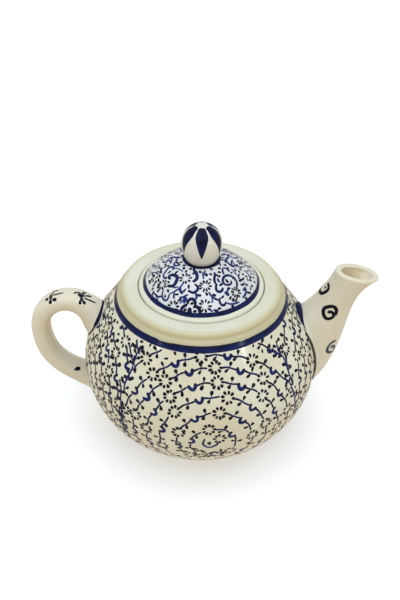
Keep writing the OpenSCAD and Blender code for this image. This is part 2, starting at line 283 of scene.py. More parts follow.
def rolled(bm, rings, sides, place, layer, load):  # a flat grid rolled into a tube
    made = bmesh.ops.create_grid(bm, x_segments=rings, y_segments=sides, size=0.5)["verts"]
    for vert in made:
        along, angle = vert.co.x + 0.5, (vert.co.y + 0.5) * math.tau
        vert[layer] = load(along, angle)
        vert.co = place(along, angle)
    bmesh.ops.remove_doubles(bm, verts=made, dist=weld)


# Belly
belly = {"lowerArc": 58.8 * mm, "upperArc": 52 * mm, "shoulderLean": math.radians(35.6),
         "wall": 4.5 * mm, "floor": 5 * mm, "baseRadius": 44.5 * mm, "baseEdge": 1.2 * mm}
bodyLow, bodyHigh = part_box("body")
bellyRadius = bodyHigh.y
lowerCentre = bellyRadius - belly["lowerArc"]
upperCentre = bellyRadius - belly["upperArc"]
bellyZ = bodyLow.z + math.sqrt(belly["lowerArc"] ** 2 - (belly["baseRadius"] - lowerCentre) ** 2)
tangentRise = belly["upperArc"] * math.sin(belly["shoulderLean"])
tangentRadius = upperCentre + belly["upperArc"] * math.cos(belly["shoulderLean"])


def radiusAt(z):  # outside of the belly
    rise = z - bellyZ
    if rise < 0:
        return lowerCentre + math.sqrt(max(0, belly["lowerArc"] ** 2 - rise ** 2))
    if rise < tangentRise:
        return upperCentre + math.sqrt(belly["upperArc"] ** 2 - rise ** 2)
    return tangentRadius - (rise - tangentRise) * math.tan(belly["shoulderLean"])


def bellyMesh():
    lean = math.degrees(belly["shoulderLean"])
    baseTurn = math.degrees(math.acos((belly["baseRadius"] - lowerCentre) / belly["lowerArc"]))
    innerLower = belly["lowerArc"] - belly["wall"]
    innerUpper = belly["upperArc"] - belly["wall"]
    floorZ = bodyLow.z + belly["floor"]
    floorTurn = math.degrees(math.asin((bellyZ - floorZ) / innerLower))
    topRadius = radiusAt(bodyHigh.z)
    innerTop = topRadius - belly["wall"] / math.cos(belly["shoulderLean"])
    innerTangent = (upperCentre + innerUpper * math.cos(belly["shoulderLean"]),
                    bellyZ + innerUpper * math.sin(belly["shoulderLean"]))
    return turned((0, bodyLow.z), [
        (belly["baseRadius"] - belly["baseEdge"], bodyLow.z),
        (belly["baseRadius"], bodyLow.z),
        ((lowerCentre, bellyZ), baseTurn, 44),
        ((upperCentre, bellyZ), lean, 24),
        (topRadius + (tangentRadius - topRadius) * 0.5, (bodyHigh.z + bellyZ + tangentRise) / 2),
        (topRadius, bodyHigh.z),
        (innerTop, bodyHigh.z),
        innerTangent,
        ((upperCentre, bellyZ), -lean, 14),
        ((lowerCentre, bellyZ), -floorTurn, 24),
        (0, floorZ)])


bm = bellyMesh()
bellyTree = BVHTree.FromBMesh(bm)
body = newPiece("teapotBody", bm, bellyGlaze, "pot", ["body"])

# Strainer: a ring of holes pierced through the wall behind the spout
strainer = {"hole": 5.5 * mm, "pitch": 9.5 * mm, "ring": 6, "z": 61 * mm, "depth": 30 * mm, "sides": 20}
bm = bmesh.new()
for k in range(strainer["ring"] + 1):
    turn = math.tau * k / strainer["ring"]
    out = strainer["pitch"] if k else 0
    place = Matrix.Translation((bellyRadius, out * math.cos(turn), strainer["z"] + out * math.sin(turn)))
    bmesh.ops.create_cone(bm, cap_ends=True, segments=strainer["sides"], radius1=strainer["hole"] / 2,
                          radius2=strainer["hole"] / 2, depth=strainer["depth"],
                          matrix=place @ Matrix.Rotation(math.pi / 2, 4, "Y"))
drillMesh = bpy.data.meshes.new("drills")
bm.to_mesh(drillMesh)
bm.free()
drills = bpy.data.objects.new("drills", drillMesh)
bpy.context.scene.collection.objects.link(drills)
pierce = body.modifiers.new("pierce", "BOOLEAN")
pierce.object = drills
pierced = bpy.data.meshes.new_from_object(body.evaluated_get(bpy.context.evaluated_depsgraph_get()))
body.modifiers.clear()
body.data = pierced
bpy.data.objects.remove(drills)
pierced.set_sharp_from_angle(angle=math.radians(creaseAngle))
print("strainer pierced,", len(pierced.polygons), "faces")

# Foot ring, a turned ring with its edges rubbed round
foot = {"restOuter": 41 * mm, "restInner": 35 * mm, "topInner": 34 * mm, "edge": 0.7 * mm,
        "innerDraft": 0.1 * mm, "outerDraft": 0.2 * mm}
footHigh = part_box("foot_ring")[1]
bm = turned((foot["topInner"], footHigh.z), [
    (foot["restInner"] - foot["innerDraft"], foot["edge"]),
    (foot["restInner"] + foot["edge"], 0),
    (foot["restOuter"] - foot["edge"], 0),
    (foot["restOuter"] + foot["outerDraft"], foot["edge"]),
    (footHigh.y, footHigh.z),
    (foot["topInner"], footHigh.z)])
newPiece("footRing", bm, clay, "pot", ["foot_ring"])

# Gallery collar: thin lip, hollow side, rounded edge, flat top, ledge for the lid
collar = {"topRadius": 52 * mm, "ledgeRadius": 41.2 * mm, "throat": 34 * mm, "ledgeDepth": 3 * mm,
          "lip": 1 * mm, "edge": 2.2 * mm, "ledgeEdge": 0.6 * mm}
collarLow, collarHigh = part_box("gallery_collar")
hollow = collarHigh.y - collar["topRadius"]
ledgeZ = collarHigh.z - collar["ledgeDepth"]
soft = collar["ledgeEdge"]
bm = turned((collar["throat"], collarLow.z), [
    (collarHigh.y, collarLow.z),
    ((collarHigh.y, collarLow.z + collar["lip"] / 2), 180, 8),
    ((collarHigh.y, collarLow.z + collar["lip"] + hollow), -90, 12),
    (collar["topRadius"], collarHigh.z - collar["edge"]),
    ((collar["topRadius"] - collar["edge"], collarHigh.z - collar["edge"]), 90, 12),
    (collar["ledgeRadius"] + soft, collarHigh.z),
    ((collar["ledgeRadius"] + soft, collarHigh.z - soft), 90, 6),
    (collar["ledgeRadius"], ledgeZ),
    (collar["throat"] + soft, ledgeZ),
    ((collar["throat"] + soft, ledgeZ - soft), 90, 6),
    (collar["throat"], collarLow.z)])
newPiece("galleryCollar", bm, collarGlaze, "pot", ["gallery_collar"])

# Lid: skirt, flange with a rounded edge, dome
lidForm = {"edge": 2 * mm, "margin": 3.1 * mm, "domeRise": 19.3 * mm, "wall": 4 * mm, "skirtWall": 3.4 * mm,
           "skirtRadius": 33.2 * mm, "flange": 4.4 * mm, "skirtEdge": 0.8 * mm,
           "step": 0.5 * mm, "stepRise": 0.3 * mm, "stepTurn": 0.6}
lidLow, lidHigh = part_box("lid")
flangeTop = ledgeZ + lidForm["flange"]
domeRadius = lidHigh.y - lidForm["margin"]
domeArc = (domeRadius ** 2 + lidForm["domeRise"] ** 2) / (2 * lidForm["domeRise"])
domeZ = flangeTop + lidForm["domeRise"] - domeArc
domeTurn = math.degrees(math.atan2(domeRadius, flangeTop - domeZ))
innerArc = domeArc - lidForm["wall"]
skirtInner = lidForm["skirtRadius"] - lidForm["skirtWall"]
innerTurn = math.degrees(math.asin(skirtInner / innerArc))
soft = lidForm["skirtEdge"]
bm = turned((0, domeZ + innerArc), [
    ((0, domeZ), -innerTurn, 24),
    (skirtInner, lidLow.z + soft),
    ((skirtInner + soft, lidLow.z + soft), 90, 5),
    (lidForm["skirtRadius"] - soft, lidLow.z),
    ((lidForm["skirtRadius"] - soft, lidLow.z + soft), 90, 5),
    (lidForm["skirtRadius"], ledgeZ),
    (lidHigh.y - soft, ledgeZ),
    (lidHigh.y, ledgeZ + soft),
    (lidHigh.y, flangeTop - lidForm["edge"]),
    ((lidHigh.y - lidForm["edge"], flangeTop - lidForm["edge"]), 90, 8),
    (domeRadius + lidForm["step"], flangeTop),
    (domeRadius, flangeTop + lidForm["stepRise"]),
    ((0, domeZ), domeTurn - lidForm["stepTurn"], 40),
    (0, domeZ + domeArc)])
lidTree = BVHTree.FromBMesh(bm)
newPiece("lidDome", bm, lidGlaze, "lid", ["lid"])

# Knob: a ball drawn in to a neck
knobForm = {"waist": 2.9 * mm, "sides": 128}
knobLow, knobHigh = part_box("lid_knob")
knobRadius = knobHigh.y
knobZ = knobHigh.z - knobRadius
knobRise = knobZ - knobLow.z
knobArc = (knobRise ** 2 + knobForm["waist"] ** 2) / (2 * knobForm["waist"])
neckTurn = math.degrees(math.asin(knobRise / knobArc))
neckRadius = knobRadius - knobForm["waist"]
bm = turned((0, knobLow.z), [
    (neckRadius, knobLow.z),
    ((knobRadius - knobArc, knobZ), neckTurn, 20),
    ((0, knobZ), 90, 28)], sides=knobForm["sides"])
knobTree = BVHTree.FromBMesh(bm)
newPiece("lidKnob", bm, knobGlaze, "lid", ["lid_knob"])
print("turned pieces made")


# Spout and handle are swept in the upright plane through the axis
def upright(x, z):
    return Vector((x, 0, z))


def leaning(degrees):  # direction at an angle from the vertical
    return upright(math.sin(math.radians(degrees)), math.cos(math.radians(degrees)))


def bezier(points, t):
    a, b, c, d = points
    return a * (1 - t) ** 3 + b * 3 * t * (1 - t) ** 2 + c * 3 * t ** 2 * (1 - t) + d * t ** 3


def bezierAim(points, t):
    a, b, c, d = points
    return ((b - a) * (1 - t) ** 2 + (c - b) * 2 * t * (1 - t) + (d - c) * t ** 2).normalized()


def ovalSpot(centre, aim, halfDepth, halfWidth, angle, power=1.0):  # a point of an oval square to the sweep
    c, s = math.cos(angle), math.sin(angle)
    c, s = math.copysign(abs(c) ** power, c), math.copysign(abs(s) ** power, s)
    return centre + Vector((-aim.z * halfDepth * c, halfWidth * s, aim.x * halfDepth * c))


def outOfBelly(point):
    return math.hypot(point.x, point.y) - radiusAt(point.z)


def rootShare(place, inside, outside, sink):  # where a line of the sweep comes out of the belly
    for _ in range(32):
        middle = (inside + outside) / 2
        if outOfBelly(place(middle)) < -sink:
            inside = middle
        else:
            outside = middle
    return outside


def flared(point, centre, amount):  # pushes a root outwards, along the belly
    away = point - centre
    normal = bellyTree.find_nearest(point)[1]
    away = away - normal * away.dot(normal)
    return point + away.normalized() * amount


spoutForm = {"sink": 21 * mm, "rootRise": 3 * mm, "rootDepth": 70.8 * mm, "rootWidth": 48 * mm,
             "rootLean": 62, "neckReach": 7.3 * mm, "neckRise": 44.3 * mm, "neckLean": 21,
             "neckDepth": 22.9 * mm, "neckWidth": 20 * mm, "mouthReach": 19.6 * mm, "mouthRise": 67.4 * mm,
             "mouthLean": 42, "mouthTilt": 9, "lipDepth": 28.8 * mm, "lipWidth": 20.8 * mm, "wall": 3.2 * mm,
             "lipWall": 4.2 * mm, "lipRoll": 1.2 * mm, "rootPull": 15.4 * mm, "neckPull": 15.5 * mm,
             "mouthPull": 8 * mm, "taper": 1.56, "neckAt": 0.85, "bendAt": 0.7, "tail": 60 * mm,
             "fillet": 1.4 * mm, "filletRun": 0.09, "rootSink": 0.3 * mm, "rings": 126, "sides": 72,
             "rootSearch": (-0.4, 0.75), "outsideShare": 0.6, "lipShare": 0.1, "boreShare": 0.3,
             "spacing": 1.25}
boreStart = 1 - spoutForm["boreShare"]
spoutRoot = upright(bellyRadius - spoutForm["sink"], bellyZ + spoutForm["rootRise"])
spoutNeck = upright(bellyRadius + spoutForm["neckReach"], bellyZ + spoutForm["neckRise"])
spoutMouth = upright(bellyRadius + spoutForm["mouthReach"], bellyZ + spoutForm["mouthRise"])
rootAim, neckAim, endAim = (leaning(spoutForm[k]) for k in ("rootLean", "neckLean", "mouthLean"))
spoutLower = [spoutRoot, spoutRoot + rootAim * spoutForm["rootPull"],
              spoutNeck - neckAim * spoutForm["neckPull"], spoutNeck]
spoutUpper = [spoutNeck, spoutNeck + neckAim * spoutForm["mouthPull"],
              spoutMouth - endAim * spoutForm["mouthPull"], spoutMouth]


def spoutSpot(u, angle, inset=0.0):  # u is 0 at the root and 1 at the mouth, and below 0 inside the belly
    form = spoutForm
    bend = form["bendAt"]
    if u < 0:
        centre, aim = spoutRoot + rootAim * u * form["tail"], rootAim
    elif u < bend:
        centre, aim = bezier(spoutLower, u / bend), bezierAim(spoutLower, u / bend)
    else:
        share = (u - bend) / (1 - bend)
        centre = bezier(spoutUpper, share)
        aim = leaning(form["neckLean"] + (form["mouthTilt"] - form["neckLean"]) * share)
    swell = max(0, 1 - max(u, 0) / form["neckAt"]) ** form["taper"]
    flare = max(0, (u - form["neckAt"]) / (1 - form["neckAt"])) ** 2
    depth = form["neckDepth"] + (form["rootDepth"] - form["neckDepth"]) * swell
    depth += (form["lipDepth"] - form["neckDepth"]) * flare
    width = form["neckWidth"] + (form["rootWidth"] - form["neckWidth"]) * swell
    width += (form["lipWidth"] - form["neckWidth"]) * flare
    take = inset * (form["wall"] + (form["lipWall"] - form["wall"]) * flare)
    return ovalSpot(centre, aim, depth / 2 - take, width / 2 - take, angle), centre


spoutRootShares = {}


def spoutRootShare(angle, inset):
    key = (round(angle, 5), inset)
    if key not in spoutRootShares:
        spoutRootShares[key] = rootShare(lambda u: spoutSpot(u, angle, inset)[0],
                                         *spoutForm["rootSearch"], spoutForm["rootSink"])
    return spoutRootShares[key]


def spoutPlace(t, angle):  # up the outside, over the rolled lip, down the bore
    form = spoutForm
    if t < form["outsideShare"]:
        share = (t / form["outsideShare"]) ** form["spacing"]
        start = spoutRootShare(angle, 0)
        spot, centre = spoutSpot(start + (1 - start) * share, angle)
        root = max(0, 1 - share / form["filletRun"]) ** 2
        return flared(spot, centre, form["fillet"] * root)
    if t < boreStart:
        roll = math.pi * (t - form["outsideShare"]) / form["lipShare"]
        outer, inner = spoutSpot(1, angle)[0], spoutSpot(1, angle, 1)[0]
        rim = (outer + inner) / 2 + (outer - inner) / 2 * math.cos(roll)
        return rim + leaning(form["mouthTilt"]) * form["lipRoll"] * math.sin(roll)
    start = spoutRootShare(angle, 1)
    return spoutSpot(1 - (1 - start) * (t - boreStart) / form["boreShare"], angle, 1)[0]


def spoutRing(t, angle):  # the last ring lies on the first, so that the wall is closed at the root
    ring = round(t * spoutForm["rings"])
    last = spoutForm["rings"] - 1
    return spoutPlace(ring / last if ring <= last else 0, angle)


bm = bmesh.new()
# the bore's vertices are marked for the painted light
rolled(bm, spoutForm["rings"], spoutForm["sides"], spoutRing, bm.verts.layers.float.new("paintedShading"),
       lambda t, _: float(t > boreStart))
bmesh.ops.recalc_face_normals(bm, faces=bm.faces[:])
spoutTree = BVHTree.FromBMesh(bm)
newPiece("pouringSpout", bm, spoutGlaze, "pot", ["spout"], sharp=sweptCrease)

handleForm = {"upperRise": 29 * mm, "lowerDrop": 27.5 * mm, "reach": 29.3 * mm, "bowRise": 18.5 * mm,
              "thickness": 12.7 * mm, "width": 17 * mm, "upperDepth": 18.5 * mm, "upperWidth": 21 * mm,
              "lowerDepth": 21 * mm, "lowerWidth": 20 * mm, "rootRun": 0.35, "sink": 60 * mm,
              "upperPull": (-8.9 * mm, 25.2 * mm), "crownPull": 26.3 * mm, "bowPull": 30.7 * mm,
              "lowerPull": (-16.7 * mm, 8.2 * mm), "fillet": 1.6 * mm, "filletRun": 0.06,
              "rootSink": 0.3 * mm, "squareness": 0.86, "rings": 120, "sides": 56,
              "upperSearch": (-0.3, 0.3), "lowerSearch": (1.3, 0.7),
              "tan": 0.85, "tanEnd": 0.75, "tanSlope": 3}
upperRoot = upright(-radiusAt(bellyZ + handleForm["upperRise"]), bellyZ + handleForm["upperRise"])
lowerRoot = upright(-radiusAt(bellyZ - handleForm["lowerDrop"]), bellyZ - handleForm["lowerDrop"])
handleBow = upright(-bellyRadius - handleForm["reach"], bellyZ + handleForm["bowRise"])
handleUpper = [upperRoot, upperRoot + upright(*handleForm["upperPull"]),
               handleBow + upright(0, handleForm["crownPull"]), handleBow]
handleLower = [handleBow, handleBow - upright(0, handleForm["bowPull"]),
               lowerRoot + upright(*handleForm["lowerPull"]), lowerRoot]


def handleSpot(u, angle):  # u is 0 at the upper root and 1 at the lower one
    form = handleForm
    if u < 0:
        aim = bezierAim(handleUpper, 0)
        centre = upperRoot + aim * u * form["sink"]
    elif u > 1:
        aim = bezierAim(handleLower, 1)
        centre = lowerRoot + aim * (u - 1) * form["sink"]
    elif u < 0.5:
        centre, aim = bezier(handleUpper, 2 * u), bezierAim(handleUpper, 2 * u)
    else:
        centre, aim = bezier(handleLower, 2 * u - 1), bezierAim(handleLower, 2 * u - 1)
    run = min(1, max(0, u))
    top = max(0, 1 - run / form["rootRun"]) ** 3
    low = max(0, 1 - (1 - run) / form["rootRun"]) ** 3
    depth = form["thickness"] + (form["upperDepth"] - form["thickness"]) * top
    depth += (form["lowerDepth"] - form["thickness"]) * low
    width = form["width"] + (form["upperWidth"] - form["width"]) * top
    width += (form["lowerWidth"] - form["width"]) * low
    return ovalSpot(centre, aim, depth / 2, width / 2, angle, form["squareness"]), centre


handleEnds = {}


def handleEnd(angle):
    key = round(angle, 5)
    if key not in handleEnds:
        handleEnds[key] = tuple(
            rootShare(lambda u: handleSpot(u, angle)[0], *handleForm[search], handleForm["rootSink"])
            for search in ("upperSearch", "lowerSearch"))
    return handleEnds[key]


def handlePlace(t, angle):
    start, end = handleEnd(angle)
    spot, centre = handleSpot(start + (end - start) * t, angle)
    root = max(0, 1 - min(t, 1 - t) / handleForm["filletRun"]) ** 2
    return flared(spot, centre, handleForm["fillet"] * root)


def handlePaintedShade(t, angle):  # painted shade, darker and warmer: strongest inside the loop, gone before the lower root
    fade = min(1, max(0, handleForm["tanSlope"] * (handleForm["tanEnd"] - t)))
    return handleForm["tan"] * max(0, math.cos(angle)) * fade


bm = bmesh.new()
rolled(bm, handleForm["rings"], handleForm["sides"], handlePlace, bm.verts.layers.float.new("paintedShading"),
       handlePaintedShade)
bmesh.ops.holes_fill(bm, edges=[edge for edge in bm.edges if edge.is_boundary])
bmesh.ops.recalc_face_normals(bm, faces=bm.faces[:])
handleTree = BVHTree.FromBMesh(bm)
newPiece("loopHandle", bm, handleGlaze, "pot", ["handle"], sharp=sweptCrease)
print("swept pieces made")


# Painting: thin strokes laid on the glazed surfaces, each vertex with its load of pigment
paint = {"lift": 0.05 * mm, "film": 0.1 * mm, "rowWidth": 2 * mm, "endWidth": 0.55, "edgeSink": 0.5,
         "strokeFade": 0.12, "dabFade": 0.08, "dabSides": 10, "dabMiddle": 0.86, "dabSwell": 0.28}
# How much the hand varies from one touch to the next
hand = {"turn": 0.12, "reach": (0.92, 1.08), "size": (0.85, 1.15), "load": (0.9, 1.0)}


def newCanvas(tree, lift=paint["lift"]):
    bm = bmesh.new()
    return {"bm": bm, "pigment": bm.verts.layers.float.new("pigment"), "tree": tree, "lift": lift}


def layOn(canvas, vert, spot, tone, lift=1.0):
    near, normal, _, _ = canvas["tree"].find_nearest(spot)
    vert.co = near + normal * canvas["lift"] * lift
    vert[canvas["pigment"]] = tone


def between(values, share):  # a value along a stroke, from even steps
    place = share * (len(values) - 1)
    k = min(int(place), len(values) - 2)
    return values[k] + (values[k + 1] - values[k]) * (place - k)


def smoothed(points, steps=5):  # a flowing path through a few points
    path = []
    ends = [points[0] * 2 - points[1]] + points + [points[-1] * 2 - points[-2]]
    for a, b, c, d in zip(ends, ends[1:], ends[2:], ends[3:]):
        for k in range(steps):
            t = k / steps
            path.append(b + (c - a) * t / 2 + (a - b * 2.5 + c * 2 - d / 2) * t * t
                        + (b * 1.5 - a / 2 - c * 1.5 + d / 2) * t ** 3)
    return path + [points[-1]]


def brush(canvas, path, widths, tones):  # one stroke along points on the surface
    count = len(path) - 1
    rows = 2 * max(1, round(max(widths) / paint["rowWidth"]))
    made = bmesh.ops.create_grid(canvas["bm"], x_segments=count, y_segments=rows, size=0.5)["verts"]
    for vert in made:
        step = round((vert.co.x + 0.5) * count)
        side = vert.co.y * 2
        share = step / count
        run = path[min(step + 1, count)] - path[max(step - 1, 0)]
        normal = canvas["tree"].find_nearest(path[step])[1]
        across = normal.cross(run).normalized() * between(widths, share) / 2
        if step in (0, count):  # rounded ends
            across *= paint["endWidth"]
        spot = path[step] + across * side
        tone = between(tones, share) * (1 - paint["strokeFade"] * abs(side))
        layOn(canvas, vert, spot, tone, 1 - paint["edgeSink"] * abs(side))


def dab(canvas, spot, along, length, width, tone):  # a touch of the loaded brush, fullest in front
    near, normal, _, _ = canvas["tree"].find_nearest(spot)
    along = (along - normal * along.dot(normal)).normalized()
    across = normal.cross(along)
    made = bmesh.ops.create_circle(canvas["bm"], cap_ends=True, cap_tris=True, segments=paint["dabSides"],
                                   radius=1)["verts"]
    for vert in made:
        x, y = vert.co.x, vert.co.y
        edge = math.hypot(x, y)
        fullness = paint["dabMiddle"] + paint["dabSwell"] * x
        reach = along * x * length / 2 + across * y * fullness * width / 2
        layOn(canvas, vert, near + reach, tone * (1 - paint["dabFade"] * edge), 1 - paint["edgeSink"] * edge)


def painted(name, canvas, body, colour=cobalt):
    piece = newPiece(name, canvas["bm"], colour, body)
    film = piece.modifiers.new("paintFilm", "SOLIDIFY")
    film.thickness = paint["film"]
    film.offset = -1
    return piece


def paintMap(canvases):  # tells how far a spot lies from any stroke
    spots = [vert.co.copy() for canvas in canvases for vert in canvas["bm"].verts]
    found = kdtree.KDTree(len(spots))
    for k, spot in enumerate(spots):
        found.insert(spot, k)
    found.balance()
    return found


def rosette(canvas, spot, heading, form):  # a ring of dabs round an empty middle
    normal = canvas["tree"].find_nearest(spot)[1]
    count = dice.choice(form["dabs"])
    for k in range(count):
        turn = Matrix.Rotation(math.tau * (k + dice.uniform(-hand["turn"], hand["turn"])) / count, 3, normal)
        way = turn @ heading
        reach = form["radius"] * dice.uniform(*hand["reach"])
        dab(canvas, spot + way * reach, way, form["length"] * dice.uniform(*hand["size"]),
            form["width"] * dice.uniform(*hand["size"]), dice.uniform(*hand["load"]))


# Belly painting: four spirals of vine, one on each side, each kept to the ground nearest its own middle
vineForm = {"width": 1.15 * mm, "step": 1.1 * mm, "wobble": 0.35 * mm, "top": 106.2 * mm, "bottom": 6 * mm,
            "rootMargin": 1.5 * mm, "closest": 9.2, "furthest": 62, "rosetteGap": 3.9 * mm, "firstStop": -235,
            "firstRosette": -200, "crowded": 0.6, "swell": (1.25, 0.9, 1.1), "load": (0.75, 1),
            "leafAt": (0.42, 0.6)}
rosetteForm = {"dabs": [8, 8, 9], "radius": 3.2 * mm, "length": 2.6 * mm, "width": 2.2 * mm}
leafForm = {"length": 3.2 * mm, "width": 2.4 * mm, "reach": 2.45 * mm, "stem": 0.65 * mm,
            "stretch": (0.9, 1.15), "load": (0.92, 1.0), "stemLoad": [0.8, 0.9, 1],
            "lean": (-0.2, 0.3), "trail": (0.4, 1.0)}
bowlForm = {"half": 2.1 * mm, "depth": 2.1 * mm, "horn": 1.3 * mm, "tip": 1.75 * mm, "width": 2.25 * mm,
            "steps": 12, "load": (0.45, 0.85), "flank": 0.9, "lastTip": 1.2, "opening": 0.9}
fillForm = {"length": 2.6 * mm, "width": 1.9 * mm, "room": 2.1 * mm, "apart": 3.4 * mm, "tries": 3600,
            "seam": 0.055, "top": 97 * mm, "heights": (12, 106), "stretch": (0.8, 1.2), "spread": (0.8, 1.1),
            "load": 0.96}
spirals = [{"azimuth": 5.2, "height": 52.6 * mm, "inner": 9.3, "pitch": 7.15, "shift": 0, "bold": 1},
           {"azimuth": 93.6, "height": 54.4 * mm, "inner": 7.7, "pitch": 7.3, "shift": 25, "bold": 1.15},
           {"azimuth": 185, "height": 53 * mm, "inner": 9.3, "pitch": 7.15, "shift": -14, "bold": 1},
           {"azimuth": -79, "height": 54.2 * mm, "inner": 9.5, "pitch": 6.25, "shift": 10, "bold": 1.2}]
# Each turn of a spiral: bearing of its first rosette, step to the next, and how far it strays outwards
turns = [{"first": -7, "step": 140, "stray": -0.2}, {"first": -64, "step": 76, "stray": 0.9},
         {"first": -43, "step": 61, "stray": 1.1}, {"first": -38, "step": 44, "stray": 0.4},
         {"first": -35, "step": 39, "stray": 0}, {"first": -41, "step": 35.5, "stray": -1.6},
         {"first": -40, "step": 32, "stray": -0.6}, {"first": -38, "step": 30, "stray": 0}]
# Middle of a spiral, as bearing and degrees away: one rosette, and a hook that opens upwards round a dab
heart = {"rosette": (49, 4.9), "hook": [(70, 3.2), (115, 2.6), (200, 2.8), (270, 3.5), (324, 4.8)],
         "hookWidths": [1.2 * mm, 2 * mm, 1.6 * mm, 1.2 * mm], "hookLoad": [0.9, 0.55, 0.6, 0.9],
         "dab": (300, 1.0), "dabSize": (2.6 * mm, 4 * mm)}
bellyMiddle = Vector((0, 0, bellyZ))


def bellyAt(azimuth, z):  # a spot on the belly; azimuth 0 is the front, 90 the spout
    a, r = math.radians(azimuth), radiusAt(z)
    return Vector((r * math.sin(a), -r * math.cos(a), z))


for spiral in spirals:
    spiral["aim"] = (bellyAt(spiral["azimuth"], spiral["height"]) - bellyMiddle).normalized()
    spiral["up"] = (Vector((0, 0, 1)) - spiral["aim"] * spiral["aim"].z).normalized()
    spiral["right"] = spiral["up"].cross(spiral["aim"])


def polarSpot(spiral, bearing, away):  # at a clockwise bearing and degrees away from a spiral's middle
    b, away = math.radians(bearing), math.radians(away)
    flat = spiral["up"] * math.cos(b) + spiral["right"] * math.sin(b)
    way = spiral["aim"] * math.cos(away) + flat * math.sin(away)
    return bellyTree.ray_cast(bellyMiddle + way * bellyRadius * 2, -way)[0]


def vineAway(spiral, bearing):
    turn = max(0, min(len(turns) - 1.001, bearing / 360))
    k = int(turn)
    stray = turns[k]["stray"] + (turns[k + 1]["stray"] - turns[k]["stray"]) * (turn - k)
    return max(vineForm["closest"], spiral["inner"] + spiral["pitch"] * bearing / 360 + stray)


def headings(spiral, bearing):  # spot on the vine, its travel, and the way out from the spiral's middle
    spot, back, ahead = (polarSpot(spiral, b, vineAway(spiral, b))
                         for b in (bearing, bearing - 1, bearing + 1))
    travel = (ahead - back).normalized()
    return spot, travel, bellyTree.find_nearest(spot)[1].cross(travel).normalized()


def degreesFor(spiral, bearing, length):  # bearing that a length of vine covers
    return math.degrees(length / (bellyRadius * math.sin(math.radians(vineAway(spiral, bearing)))))


def rootBox(place):  # middle and half size of a root's outline on the belly
    spots = [place(math.tau * k / 48) for k in range(48)]
    low, high = min(s.z for s in spots), max(s.z for s in spots)
    return {"side": math.copysign(1, spots[0].x), "z": (low + high) / 2,
            "halfHeight": (high - low) / 2 + vineForm["rootMargin"],
            "halfWidth": max(abs(s.y) for s in spots) + vineForm["rootMargin"]}


roots = [rootBox(lambda a: spoutPlace(0, a)), rootBox(lambda a: handlePlace(0, a)),
         rootBox(lambda a: handlePlace(1, a))]


def isBare(spot, spiral=None):  # ground that may be painted, and that is nearest to this spiral
    if not vineForm["bottom"] < spot.z < vineForm["top"]:
        return False
    for root in roots:
        across, rise = spot.y / root["halfWidth"], (spot.z - root["z"]) / root["halfHeight"]
        if spot.x * root["side"] > 0 and across ** 2 + rise ** 2 < 1:
            return False
    way = (spot - bellyMiddle).normalized()
    return not spiral or all(way.dot(spiral["aim"]) >= way.dot(s["aim"]) for s in spirals)


def vineRuns(spiral, start, end):  # bare stretches of the vine between two bearings
    run, runs, bearing, wave = [], [], start, dice.uniform(0, math.tau)
    while bearing < end:
        spot, travel, outward = headings(spiral, bearing)
        sway = math.sin(wave + (bearing - start) / max(1, end - start) * math.tau)
        if isBare(spot, spiral):
            run.append(spot + outward * sway * vineForm["wobble"])
        elif run:
            runs.append(run)
            run = []
        bearing += degreesFor(spiral, bearing, vineForm["step"])
    return [r for r in runs + [run] if len(r) > 2]


def leaf(canvas, stems, spot, way, bold=1.0):
    way = way.normalized()
    tip = spot + way * leafForm["reach"] * dice.uniform(*leafForm["stretch"])
    if isBare(tip):
        brush(stems, [spot, spot.lerp(tip, 0.5), tip], [leafForm["stem"]] * 3, leafForm["stemLoad"])
        dab(canvas, tip, way, leafForm["length"] * bold * dice.uniform(*hand["size"]),
            leafForm["width"] * bold * dice.uniform(*hand["size"]), dice.uniform(*leafForm["load"]))


def leafPair(canvas, stems, spiral, bearing):  # the outer leaf stands up, the inner one trails
    spot, travel, outward = headings(spiral, bearing)
    if isBare(spot, spiral):
        leaf(canvas, stems, spot, outward + travel * dice.uniform(*leafForm["lean"]), spiral["bold"])
        leaf(canvas, stems, spot, -outward - travel * dice.uniform(*leafForm["trail"]), spiral["bold"])


def bowl(canvas, spiral, bearing):  # a cup in the line of the vine, with dark horns
    spot, travel, outward = headings(spiral, bearing)
    if not isBare(spot, spiral):
        return
    path = []
    for k in range(bowlForm["steps"] + 1):
        a = math.pi * k / bowlForm["steps"]
        sag = bowlForm["horn"] - (bowlForm["horn"] + bowlForm["depth"]) * math.sin(a)
        path.append(spot - travel * bowlForm["half"] * math.cos(a) + outward * sag)
    middle = dice.uniform(*bowlForm["load"])
    fat = bowlForm["width"] * dice.uniform(*hand["size"])
    flank = fat * bowlForm["flank"]
    brush(canvas, path, [bowlForm["tip"], flank, fat, flank, bowlForm["tip"] * bowlForm["lastTip"]],
          [1, 0.85, middle, 0.85, 1])


